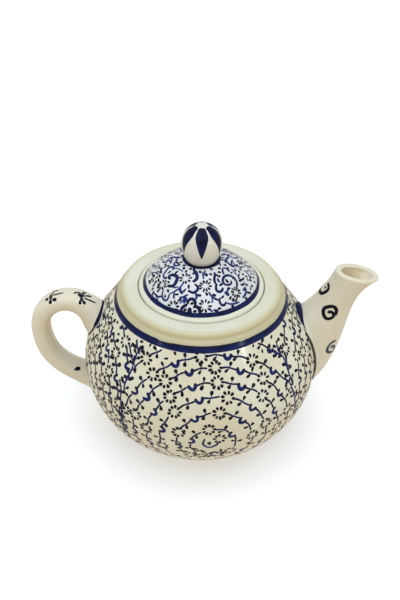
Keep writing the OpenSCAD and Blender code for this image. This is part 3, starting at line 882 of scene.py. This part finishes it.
vines, leaves, flowers, bowls = (newCanvas(bellyTree) for _ in range(4))
for spiral in spirals:
    rosette(flowers, polarSpot(spiral, *heart["rosette"]), spiral["up"], rosetteForm)
    brush(bowls, smoothed([polarSpot(spiral, *spot) for spot in heart["hook"]]),
          heart["hookWidths"], heart["hookLoad"])
    dab(leaves, polarSpot(spiral, *heart["dab"]), spiral["right"], *heart["dabSize"], 1)
    stops = [vineForm["firstStop"]]  # bearings of the rosettes along the whole vine
    for k, turn in enumerate(turns):
        bearing = turn["first"] + spiral["shift"] + 360 * k
        bearing -= turn["step"] * int((turn["first"] + spiral["shift"] + 180) / turn["step"])
        while bearing < 360 * k + 180:
            if bearing - stops[-1] > vineForm["crowded"] * turn["step"]:
                stops.append(bearing)
            bearing += turn["step"]
    stops = [b for b in stops if vineAway(spiral, b) < vineForm["furthest"]]
    for here, there in zip(stops, stops[1:]):
        spot, travel, _ = headings(spiral, here)
        if isBare(spot, spiral) and here > vineForm["firstRosette"]:
            rosette(flowers, spot, travel, rosetteForm)
        middle = (here + there) / 2
        gap = degreesFor(spiral, here, vineForm["rosetteGap"])
        dip = degreesFor(spiral, middle, bowlForm["half"] * bowlForm["opening"])
        for start, end in ((here + gap, middle - dip), (middle + dip, there - gap)):
            for run in vineRuns(spiral, start, end):
                widths = [vineForm["width"] * spiral["bold"] * w for w in vineForm["swell"]]
                brush(vines, run, widths, [1, dice.uniform(*vineForm["load"]), 0.97])
            leafPair(leaves, vines, spiral, start + (end - start) * dice.uniform(*vineForm["leafAt"]))
        bowl(bowls, spiral, middle)

# Forked stems down the seams where two spirals meet: points of the photograph on the front left seam,
# turned round the axis to the others
seamForm = {"azimuths": [-37.5, 49.4, 139.3, 233], "width": 1.1 * mm, "swell": (1.2, 1, 1.3, 1),
            "load": (0.55, 0.8), "leafEvery": 4, "firstLeaf": 2, "leafTrail": 0.7, "stems": [
    [(129.3, 343.6), (131.5, 356.4), (133.4, 362.7), (131.5, 370), (127.5, 377.3), (124.7, 384.5),
     (123.8, 391.8)],
    [(140.2, 349.1), (136.5, 354.5), (134.3, 361.8)],
    [(119.3, 379), (121, 387.3), (120.6, 396.4), (121.4, 409), (123, 421), (126, 432)]]}
for azimuth in seamForm["azimuths"]:
    swing = Matrix.Rotation(math.radians(azimuth - seamForm["azimuths"][0]), 3, "Z")
    for stem in seamForm["stems"]:
        path = smoothed([swing @ photoSpot(bellyTree, pixel) for pixel in stem], 6)
        brush(vines, path, [seamForm["width"] * w for w in seamForm["swell"]],
              [0.95, dice.uniform(*seamForm["load"]), 0.9])
        for k in range(seamForm["firstLeaf"], len(path) - 1, seamForm["leafEvery"]):
            run = (path[k + 1] - path[k - 1]).normalized()
            side = bellyTree.find_nearest(path[k])[1].cross(run)
            left = k % (2 * seamForm["leafEvery"]) == seamForm["firstLeaf"]
            leaf(leaves, vines, path[k], side * (1 if left else -1) - run * seamForm["leafTrail"])

# Loose dabs fill what is left along those seams and under the collar
dots = paintMap([vines, leaves, flowers, bowls])
loose = []
for _ in range(fillForm["tries"]):
    spot = bellyAt(dice.uniform(-180, 180), dice.uniform(*fillForm["heights"]) * mm)
    way = (spot - bellyMiddle).normalized()
    near = sorted((way.dot(spiral["aim"]) for spiral in spirals), reverse=True)
    if spot.z < fillForm["top"] and near[0] - near[1] > fillForm["seam"]:
        continue
    if not isBare(spot) or dots.find(spot)[2] <= fillForm["room"]:
        continue
    if all((spot - other).length > fillForm["apart"] for other in loose):
        loose.append(spot)
        dab(leaves, spot, Vector((dice.uniform(-1, 1), dice.uniform(-1, 1), dice.uniform(-1, 1))),
            fillForm["length"] * dice.uniform(*fillForm["stretch"]),
            fillForm["width"] * dice.uniform(*fillForm["spread"]), fillForm["load"])
painted("bellyVines", vines, "pot")
painted("bellyLeaves", leaves, "pot", colour=denseCobalt)
painted("bellyRosettes", flowers, "pot", colour=denseCobalt)
painted("bellyCups", bowls, "pot")
print("belly painted,", len(loose), "loose dabs")


# Bands: navy lines drawn on the wheel, a little uneven at their edges
bandForm = {"collarWidth": 4.4 * mm, "lidOuter": 37.6 * mm, "lidInner": 35.7 * mm, "ringInner": 9.7 * mm,
            "ringOuter": 12.2 * mm, "waver": 0.35 * mm, "sides": 240, "rows": 4, "waves": 3, "clouds": 7,
            "cloudLoad": 0.06}


def band(canvas, outer, inner, spotAt, tones):
    made = bmesh.ops.create_grid(canvas["bm"], x_segments=bandForm["sides"], y_segments=bandForm["rows"],
                                 size=0.5)["verts"]
    for vert in made:
        angle = vert.co.x * math.tau
        share = vert.co.y + 0.5
        x, y = math.cos(angle), math.sin(angle)
        waves, clouds = bandForm["waves"], bandForm["clouds"]
        drift = noise.noise((x * waves, y * waves, 7 if share < 0.5 else 19))  # each edge wavers by itself
        reach = outer + (inner - outer) * share + bandForm["waver"] * drift * (abs(vert.co.y) > 0.4)
        cloud = noise.noise((x * clouds, y * clouds, share * 2))
        tone = between(tones, share) + bandForm["cloudLoad"] * cloud
        layOn(canvas, vert, spotAt(angle, reach), tone, 1 - abs(vert.co.y))
    bmesh.ops.remove_doubles(canvas["bm"], verts=made, dist=weld)


def shoulderSpot(angle, slope):  # down the shoulder from the collar's root
    return bellyAt(math.degrees(angle), bodyHigh.z - slope * math.cos(belly["shoulderLean"]))


def domeSpot(angle, radius):
    rise = math.sqrt(max(0, domeArc ** 2 - radius ** 2))
    return Vector((math.sin(angle) * radius, -math.cos(angle) * radius, domeZ + rise))


collarBand = newCanvas(bellyTree)
band(collarBand, bandForm["collarWidth"], 0.0, shoulderSpot, [0.7, 0.82, 0.86, 0.9, 0.9])
painted("collarBand", collarBand, "pot")
lidBands = newCanvas(lidTree)
band(lidBands, bandForm["lidOuter"], bandForm["lidInner"], domeSpot, [0.82, 0.9, 0.86])
band(lidBands, bandForm["ringOuter"], bandForm["ringInner"], domeSpot, [0.85, 0.95, 1])
painted("lidBands", lidBands, "lid")
print("bands painted")

# Lid painting: points of the photograph on its front half, drawn there and again behind
lidFlowerForm = {"dabs": [9, 9, 10], "radius": 2.9 * mm, "length": 2.6 * mm, "width": 1.6 * mm}
lidFlowers = [(185.5, 278.5), (162, 285), (173.5, 306.5), (205.3, 285.8), (236, 292.5), (205, 305.8)]
# Width in mm, load of pigment and path of each stroke
lidStrokes = [
    (2.1, 0.95, [(170.5, 279.5), (168.8, 276.5), (172.5, 274.8), (177, 276.8), (176.3, 281.3),
                 (173, 285.8), (167, 285.8)]),
    (1.0, 0.95, [(175.5, 272), (175.6, 273.5), (175.4, 275)]),
    (1.5, 0.62, [(163.8, 278), (163.5, 275), (166, 271), (168, 268.5), (170.5, 267), (173, 267.3),
                 (173.8, 268.5), (173, 270)]),
    (0.8, 0.5, [(173.8, 267.8), (177.5, 268.5), (180.5, 270), (183, 271.8)]),
    (0.9, 0.6, [(172.5, 286), (173.5, 287.3), (176, 287.5), (178.5, 286.5)]),
    (1.2, 0.75, [(163.5, 289.5), (162.5, 293), (162, 295.5), (163, 298.5), (165, 300.3), (167.5, 299.3),
                 (169.8, 293.5)]),
    (1.1, 0.55, [(169.8, 293.5), (173, 292.5), (176, 290.5), (179, 288.5), (182, 285), (183.3, 283.3)]),
    (1.1, 0.78, [(153, 292), (155, 294), (157.5, 296.3), (160, 296.8), (162, 296)]),
    (1.2, 0.85, [(154.5, 291), (153, 292.5), (152.3, 296)]),
    (0.8, 0.5, [(155, 294.5), (157, 298), (158, 301)]),
    (1.1, 0.72, [(174.5, 292.5), (173.8, 295.5), (174, 297.5), (174.8, 298.5)]),
    (1.6, 0.75, [(180.2, 287), (180.2, 290.5), (182.8, 294)]),
    (1.5, 0.6, [(183.5, 303.5), (185.5, 300.5), (186.5, 297.5)]),
    (1.2, 0.75, [(179.3, 297.3), (182, 297.3), (184.5, 296.5), (188, 294.5)]),
    (1.1, 0.6, [(179.5, 303.5), (182.5, 301), (184.5, 298.5), (186, 296)]),
    (1.8, 1.0, [(181.5, 312.5), (181.5, 309), (183, 307), (185.5, 305.5), (187.3, 304.5)]),
    (1.8, 1.0, [(187.5, 304.5), (188, 301.5), (190, 299.3), (192.5, 299), (194.5, 300.5), (195.3, 303),
                (195, 305.5)]),
    (2.4, 1.0, [(190, 307.5), (189.6, 310.5), (190, 313.5)]),
    (1.9, 1.0, [(193, 307.5), (196, 306.5), (198.5, 308), (199.8, 311), (200, 314.5)]),
    (1.6, 0.95, [(194.5, 284), (197.3, 286.3), (198, 288), (197, 290.5), (194.5, 292.3), (192, 292.5),
                 (188, 290.5)]),
    (1.3, 0.55, [(195.5, 293), (196.5, 296), (196.3, 299.5)]),
    (1.4, 0.9, [(197.3, 294), (198.5, 295.3), (201.5, 295.5)]),
    (1.9, 0.9, [(194, 268), (194, 270), (196, 272.5), (197, 275.5), (196.8, 278.5), (195, 280.5),
                (192.5, 281.8)]),
    (1.4, 0.9, [(193.3, 274.8), (193.6, 273.4), (194.8, 272.2)]),
    (1.5, 0.9, [(162, 267.5), (160.8, 269), (161.3, 270.8)]),
    (0.9, 0.6, [(152.5, 273), (155.5, 272.5), (158.5, 275)]),
    (1.0, 0.55, [(166, 260), (169, 260.5), (170.8, 262.5)]),
    (1.5, 0.5, [(178, 256), (177, 259), (175.5, 263)]),
    (1.5, 0.8, [(178.8, 263.5), (178.6, 265), (179, 266)]),
    (1.6, 0.85, [(183.8, 267), (183.8, 268.2), (184.3, 269.5)]),
    (1.0, 0.7, [(205, 270), (204.8, 272), (203, 273.5), (203.3, 276.5), (203.5, 279.3)]),
    (1.8, 0.95, [(205.5, 273), (206, 274.8), (208, 275.5)]),
    (1.5, 0.88, [(214.5, 272), (214.8, 275), (214.3, 279), (214.8, 282), (216.5, 284.8)]),
    (1.6, 0.9, [(217, 283.8), (216, 286.5), (216.3, 289.5), (218, 291.5), (220.5, 291.5), (222.3, 290),
                (222.8, 287.5)]),
    (1.3, 0.65, [(217.5, 278), (218.3, 280.5), (220, 282.5)]),
    (1.5, 0.85, [(231, 280.5), (231.3, 282.5), (230, 284.5), (227, 285), (224.3, 283.8), (222.8, 281),
                 (223.3, 278), (225.5, 275.8), (228.5, 275.3), (232, 276.5), (235, 279), (236.8, 282.5),
                 (237, 285), (236.3, 288)]),
    (1.4, 0.8, [(223.8, 268), (226.5, 268.5), (228.5, 270.5), (229.5, 271.8)]),
    (1.2, 0.7, [(223.3, 267.5), (222.5, 270), (223.3, 273), (223.8, 274.5)]),
    (1.0, 0.6, [(231, 269), (233.5, 271), (235.5, 273.5), (237.5, 275.5)]),
    (1.3, 0.85, [(239.5, 273.8), (238.5, 276), (239.3, 278.5), (241.3, 279.8), (243.3, 279),
                 (243.8, 277.3)]),
    (1.5, 0.85, [(219.8, 259.8), (223.5, 260), (227, 262), (229.5, 264.3), (231.3, 266.3)]),
    (1.3, 0.65, [(222, 253.5), (225.5, 254.5), (228, 256), (228.8, 258.5)]),
    (1.2, 0.75, [(232.3, 259.5), (231.5, 262.5), (232.3, 265.5), (234.5, 265.8), (237, 264.6)]),
    (1.1, 0.6, [(236, 265), (238.5, 266.3), (240.5, 268.5)]),
    (1.2, 0.8, [(208.8, 291.8), (210.5, 294.8), (213.5, 297.8), (217, 299.6), (219.8, 300.2)]),
    (1.5, 0.95, [(212.5, 294), (214.3, 295.2), (216.2, 295.5)]),
    (0.9, 0.5, [(211.5, 298), (212.5, 301), (211.5, 303)]),
    (1.4, 0.85, [(220.3, 297.5), (219.5, 300.5), (220.5, 303.5), (222.8, 305.3), (225, 304.3), (226, 302)]),
    (1.1, 0.65, [(226, 302.3), (229, 303.8), (233, 304), (237, 302.8), (239.5, 302)]),
    (2.0, 0.75, [(224.5, 292), (227, 293.5), (228.8, 295.8)]),
    (1.2, 0.7, [(226.5, 292.3), (227.6, 290.4), (228.5, 288.3)]),
    (1.8, 0.95, [(233.5, 298), (233.3, 300), (232, 301)]),
    (1.5, 0.65, [(245.6, 286.8), (244.6, 288.8), (243, 290.5)]),
    (1.4, 0.65, [(245.5, 287.5), (246, 290.5), (245.3, 294.5), (242.5, 298)]),
    (1.0, 0.55, [(243, 282), (246, 284.5), (248.5, 286)]),
    (1.3, 0.65, [(243.5, 270.3), (246.5, 272.3), (249, 275.5), (250.3, 279)]),
    (1.6, 0.5, [(249, 280.3), (250.6, 280.2), (252, 280.8)]),
    (1.5, 0.85, [(213.5, 309.5), (216, 310.8), (218.5, 310.5)]),
    (1.1, 0.55, [(209.3, 308), (211, 310.5), (213, 311.5)])]
lidDots = [(161.5, 269), (161, 272.5), (152.5, 273), (154, 276.5), (157, 272), (156.5, 277.5),
           (151.5, 279.5), (155.5, 282), (153.5, 285.3), (158.5, 284.5), (158, 287), (152.5, 289),
           (158, 291), (150, 283), (148.5, 276), (153.5, 276), (254.5, 282), (252, 286), (243, 284.5),
           (248, 292.5), (246.5, 284.8), (253.5, 277.5), (237.5, 261.5), (235.5, 265.5), (242.5, 262.8),
           (243.5, 266.5), (240.5, 269.5), (222, 255), (225.5, 251.5), (171, 252.5), (176.5, 253.5),
           (165, 255.5), (172.5, 257.5), (158, 262.5), (185, 309.8), (191.8, 303.5), (194.8, 311.3),
           (216, 275), (219, 276.3), (225, 265), (219.3, 268.3), (241.8, 284.8), (219.3, 308.6),
           (228.6, 288.4), (249.8, 293), (155.5, 282.5), (151.5, 280), (155.5, 268.5), (153, 267.5),
           (232.7, 266.5), (237, 265), (246, 298.3), (232.5, 306.3)]
lidDab = (Vector((1, 0.4, 0)), 2.5 * mm, 2 * mm, 0.97)  # direction, length, width and load
lidBrush = {"swell": (0.8, 1.1, 1.2, 0.9), "thin": (0.85, 1), "end": 1.08}
scroll, blossoms = newCanvas(lidTree), newCanvas(lidTree)


def lidSpot(pixel, half):
    spot = photoSpot(lidTree, pixel)
    return Vector((spot.x * half, spot.y * half, spot.z))


for half in (1, -1):
    for width, load, points in lidStrokes:
        path = smoothed([lidSpot(pixel, half) for pixel in points])
        brush(scroll, path, [width * w * mm for w in lidBrush["swell"]],
              [load, load * dice.uniform(*lidBrush["thin"]), min(1, load * lidBrush["end"])])
    for pixel in lidFlowers:
        rosette(blossoms, lidSpot(pixel, half), Vector((1, 0, 0)), lidFlowerForm)
    for pixel in lidDots:
        dab(blossoms, lidSpot(pixel, half), *lidDab)
dots = paintMap([scroll, blossoms])
loose = []
lidFill = {"tries": 1600, "inner": 13 * mm, "outer": 34.4 * mm, "room": 1.05 * mm, "apart": 2.7 * mm,
           "length": (2.2 * mm, 3.6 * mm), "width": (1.5 * mm, 2.2 * mm), "load": (0.8, 1)}
for _ in range(lidFill["tries"]):  # small dabs in the gaps
    radius = math.sqrt(dice.uniform(lidFill["inner"] ** 2, lidFill["outer"] ** 2))
    spot = domeSpot(dice.uniform(0, math.tau), radius)
    if dots.find(spot)[2] < lidFill["room"]:
        continue
    if any((spot - other).length < lidFill["apart"] for other in loose):
        continue
    loose.append(spot)
    dab(blossoms, spot, Vector((dice.uniform(-1, 1), dice.uniform(-1, 1), 0)),
        *(dice.uniform(*lidFill[size]) for size in ("length", "width", "load")))
painted("lidScroll", scroll, "lid")
painted("lidBlossoms", blossoms, "lid", colour=denseCobalt)
print("lid painted,", len(loose), "loose dabs")

# Knob: six petals from the pole, each round above and pointed below
petalForm = {"count": 6, "top": 74, "bottom": -20, "steps": 26, "load": [1, 1, 0.95, 1],
             "widths": [w * mm for w in (4.4, 5.2, 6.9, 8.2, 7.9, 7.0, 5.8, 4.5, 3.1, 1.7, 0.2)]}
petals = newCanvas(knobTree)
for k in range(petalForm["count"]):
    angle = math.tau * k / petalForm["count"]
    path = []
    for step in range(petalForm["steps"] + 1):
        drop = (petalForm["bottom"] - petalForm["top"]) * step / petalForm["steps"]
        tilt = math.radians(petalForm["top"] + drop)
        r = knobRadius * math.cos(tilt)
        path.append(Vector((r * math.sin(angle), -r * math.cos(angle), knobZ + knobRadius * math.sin(tilt))))
    brush(petals, path, petalForm["widths"], petalForm["load"])
painted("knobPetals", petals, "lid")

# Spout and handle: loose motifs at points of the photograph, and again on the far side of the spout
swirlSwell = (0.9, 1, 1.1, 1)
spoutSwirls = [
    {"width": 2.3, "load": 1.0, "colour": denseCobalt, "path": [
        (328.5, 313.5), (329.4, 311.8), (331.6, 312.1), (333.6, 314.3), (332.9, 317.1), (328.2, 318.9),
        (324.8, 317.1), (323.2, 312.1), (324.4, 308.3), (327.9, 306.9), (331.3, 306.4), (334.4, 307.1),
        (336.3, 309.9), (336.1, 313), (334.8, 315.5)]},
    {"width": 2.2, "load": 0.95, "colour": denseCobalt, "over": 4, "path": [
        (327.6, 283), (328.6, 285.5), (328.2, 289.2), (325.7, 291.7), (322.4, 293.1), (320.4, 292.6)]},
    {"width": 1.2, "load": 0.8, "colour": denseCobalt, "over": 0, "path": [
        (324.7, 288.6), (325.2, 287.2), (326.4, 287.3)]},
    {"width": 2.2, "load": 0.9, "colour": greyCobalt, "behind": Vector((-0.009, 0.004, 0.001)), "path": [
        (331.6, 348.4), (331.8, 346.6), (333.4, 345.7), (334.4, 347.6), (333.4, 350.2), (331.2, 352),
        (328.5, 352.2), (327.1, 350.4), (328.2, 347), (330.7, 343.6), (333.8, 341.4), (335.4, 341.3)]}]
for name, colour in (("spoutSwirls", denseCobalt), ("spoutGreySwirls", greyCobalt)):
    swirls = newCanvas(spoutTree)
    for swirl in spoutSwirls:
        if swirl["colour"] != colour:
            continue
        spots = [photoSpot(spoutTree, pixel) for pixel in swirl["path"]]
        spots = [spot for spot in spots if spot]
        behind = [Vector((spot.x, -spot.y, spot.z)) + swirl.get("behind", Vector()) for spot in spots]
        if "over" in swirl:  # one stroke that runs on over the top of the spout
            paths = [spots + behind[::-1][:swirl["over"]]]
        else:
            paths = [spots, behind]
        for path in paths:
            brush(swirls, smoothed(path), [swirl["width"] * w * mm for w in swirlSwell], [swirl["load"]] * 3)
    painted(name, swirls, "pot", colour)

handleDabs = [{"at": (47, 299.4), "to": (-1, -0.2), "size": (3.2, 2.8)},
              {"at": (50.7, 297.2), "to": (-0.1, -1), "size": (4.2, 3.2)},
              {"at": (54.2, 299.5), "to": (1, 0.2), "size": (3.5, 3.1)},
              {"at": (50.4, 301.6), "to": (-0.1, 1), "size": (3.6, 2.9)},
              {"at": (80.4, 295.3), "to": (1, 0.6), "size": (4.4, 3.8)},
              {"at": (84, 292.8), "to": (1, 0.2), "size": (3.4, 2.2)},
              {"at": (88.8, 296.1), "to": (1, 0.2), "size": (4.2, 2.2)},
              {"at": (80.2, 302.1), "to": (-0.1, 1), "size": (3.4, 2.3)},
              {"at": (84, 302.2), "to": (0.4, 1), "size": (3.4, 2.4)},
              {"at": (77.3, 368.8), "to": (1, -0.3), "size": (4.8, 3.5)}]
handleStems = [[(52.5, 295.3), (57, 294.2), (63.5, 292.8)],
               [(50, 295.5), (53, 293), (54.5, 291.2), (58.5, 290.5)],
               [(74, 293.8), (76, 292.4), (79.5, 292.8), (81, 295)], [(84, 298), (90, 300.5), (96, 303)],
               [(81, 296), (81, 299.5), (80.3, 302)], [(81.5, 297), (82.4, 299.8), (84, 302)],
               [(81.5, 295), (83, 294), (84, 292.8)], [(82, 296), (85, 296), (88, 296)]]
sprigForm = {"lift": 0.14 * mm, "dabLoad": 0.95, "stemWidths": [1.1 * mm, 1.4 * mm, 1 * mm],
             "stemLoad": [0.9, 0.8, 0.7]}
sprigs = newCanvas(handleTree, sprigForm["lift"])
for touch in handleDabs:
    spot = photoSpot(handleTree, touch["at"])
    aside = photoSpot(handleTree, (touch["at"][0] + touch["to"][0], touch["at"][1] + touch["to"][1]))
    length, width = touch["size"]
    dab(sprigs, spot, aside - spot, length * mm, width * mm, sprigForm["dabLoad"])
for stem in handleStems:
    path = smoothed([photoSpot(handleTree, pixel) for pixel in stem])
    brush(sprigs, path, sprigForm["stemWidths"], sprigForm["stemLoad"])
painted("handleSprigs", sprigs, "pot", denseCobalt)

# Lines that cover the luted joints: a fat drop of navy on top of the spout's root that thins down both sides,
# then a brown line in the corner, a painted shadow in the crease of the joint
beadForm = {"angles": (-62, 62), "rise": 0.03, "load": 0.9,
            "radii": [r * mm for r in (0, 0.4, 1.1, 2, 2.5, 2.6, 2.5, 2, 1.1, 0.4, 0)]}
lineForm = {"angles": (50, 310), "rise": 0.014, "load": 0.85,
            "radii": [r * mm for r in (0, 1.25, 1.1, 0.8, 0.65, 0.8, 1.1, 1.25, 0)]}
rootForm = {"rise": 0.008, "step": 4, "widths": [w * mm for w in (3.2, 1.8, 2.4, 1.7, 2.4, 1.8, 3.2)],
            "load": [1, 0.9, 1, 0.9, 1, 0.9, 1]}
trailForm = {"rings": 72, "sides": 12, "ahead": 0.02}


def trail(name, form, colour):
    canvas = newCanvas(spoutTree)
    first, last = form["angles"]

    def place(t, turn):
        angle = math.radians(first + (last - first) * t)
        spot, ahead = (spoutPlace(form["rise"], a) for a in (angle, angle + trailForm["ahead"]))
        run = (ahead - spot).normalized()
        out = spot.normalized()
        out = (out - run * out.dot(run)).normalized()
        return spot + (out * math.cos(turn) + run.cross(out) * math.sin(turn)) * between(form["radii"], t)

    rolled(canvas["bm"], trailForm["rings"], trailForm["sides"], place, canvas["pigment"],
           lambda *_: form["load"])
    bmesh.ops.recalc_face_normals(canvas["bm"], faces=canvas["bm"].faces[:])
    newPiece(name, canvas["bm"], colour, "pot")


trail("spoutSeamBead", beadForm, cobalt)
trail("spoutSeamLine", lineForm, jointShadowPaint)
rootLine = newCanvas(handleTree)
rootPath = [handlePlace(rootForm["rise"], math.radians(a))
            for a in range(0, 360 + rootForm["step"], rootForm["step"])]
brush(rootLine, rootPath, rootForm["widths"], rootForm["load"])
painted("handleSeamLine", rootLine, "pot")
print("spout and handle painted")


# Floor, swept up all round into a white wall
bm = turned((0, 0), [(studio["floor"], 0), ((studio["floor"], studio["sweep"]), 90, 16),
                     (studio["floor"] + studio["sweep"], studio["wall"])], sides=96)
floorMesh = bpy.data.meshes.new("floor")
bm.to_mesh(floorMesh)
bm.free()
floorMesh.shade_smooth()
floor = bpy.data.objects.new("floor", floorMesh)
bpy.context.scene.collection.objects.link(floor)
material, tree, shader, _ = newMaterial("paleStudioFloor")
shader.inputs["Base Color"].default_value = hexColour("#fbfbfa")
shader.inputs["Roughness"].default_value = 0.9
shader.inputs["Specular IOR Level"].default_value = 0.1
shader.inputs["Emission Color"].default_value = hexColour("#ffffff")
shader.inputs["Emission Strength"].default_value = studio["glow"]
floorMesh.materials.append(material)
floor.visible_diffuse = False  # no glare thrown up under the belly
floor.visible_glossy = False
floor.visible_shadow = False

world = bpy.data.worlds.new("studio")
bpy.context.scene.world = world
world.use_nodes = True
tree = world.node_tree
aim = addNode(tree, "ShaderNodeSeparateXYZ", inputs={
    "Vector": addNode(tree, "ShaderNodeTexCoord").outputs["Generated"]})
rise = addNode(tree, "ShaderNodeMapRange", inputs={
    "Value": aim.outputs["Z"], "From Min": studio["skyFrom"], "From Max": studio["skyTo"]})
tint = addNode(tree, "ShaderNodeMixRGB", inputs={
    "Fac": rise.outputs["Result"], "Color1": hexColour(studio["lowTint"]),
    "Color2": hexColour(studio["topTint"])})
glow = addNode(tree, "ShaderNodeMapRange", inputs={
    "Value": rise.outputs["Result"], "To Min": studio["skyLow"], "To Max": studio["skyTop"]})
tree.links.new(tint.outputs["Color"], tree.nodes["Background"].inputs["Color"])
tree.links.new(glow.outputs["Result"], tree.nodes["Background"].inputs["Strength"])
broad = bpy.data.objects.new("broadLight", bpy.data.lights.new("broadLight", "SUN"))
broad.data.energy = studio["broad"]["strength"]
broad.data.angle = math.radians(studio["broad"]["spread"])
broad.rotation_euler = (-Vector(studio["broad"]["place"])).to_track_quat("-Z", "Y").to_euler()
bpy.context.scene.collection.objects.link(broad)
for lamp in studio["lamps"]:
    light = bpy.data.lights.new(lamp["name"], "AREA")
    light.energy = lamp["power"]
    light.size = lamp["size"]
    holder = bpy.data.objects.new(lamp["name"], light)
    holder.location = lamp["place"]
    holder.rotation_euler = (bellyMiddle - Vector(lamp["place"])).to_track_quat("-Z", "Y").to_euler()
    bpy.context.scene.collection.objects.link(holder)
print("studio made")
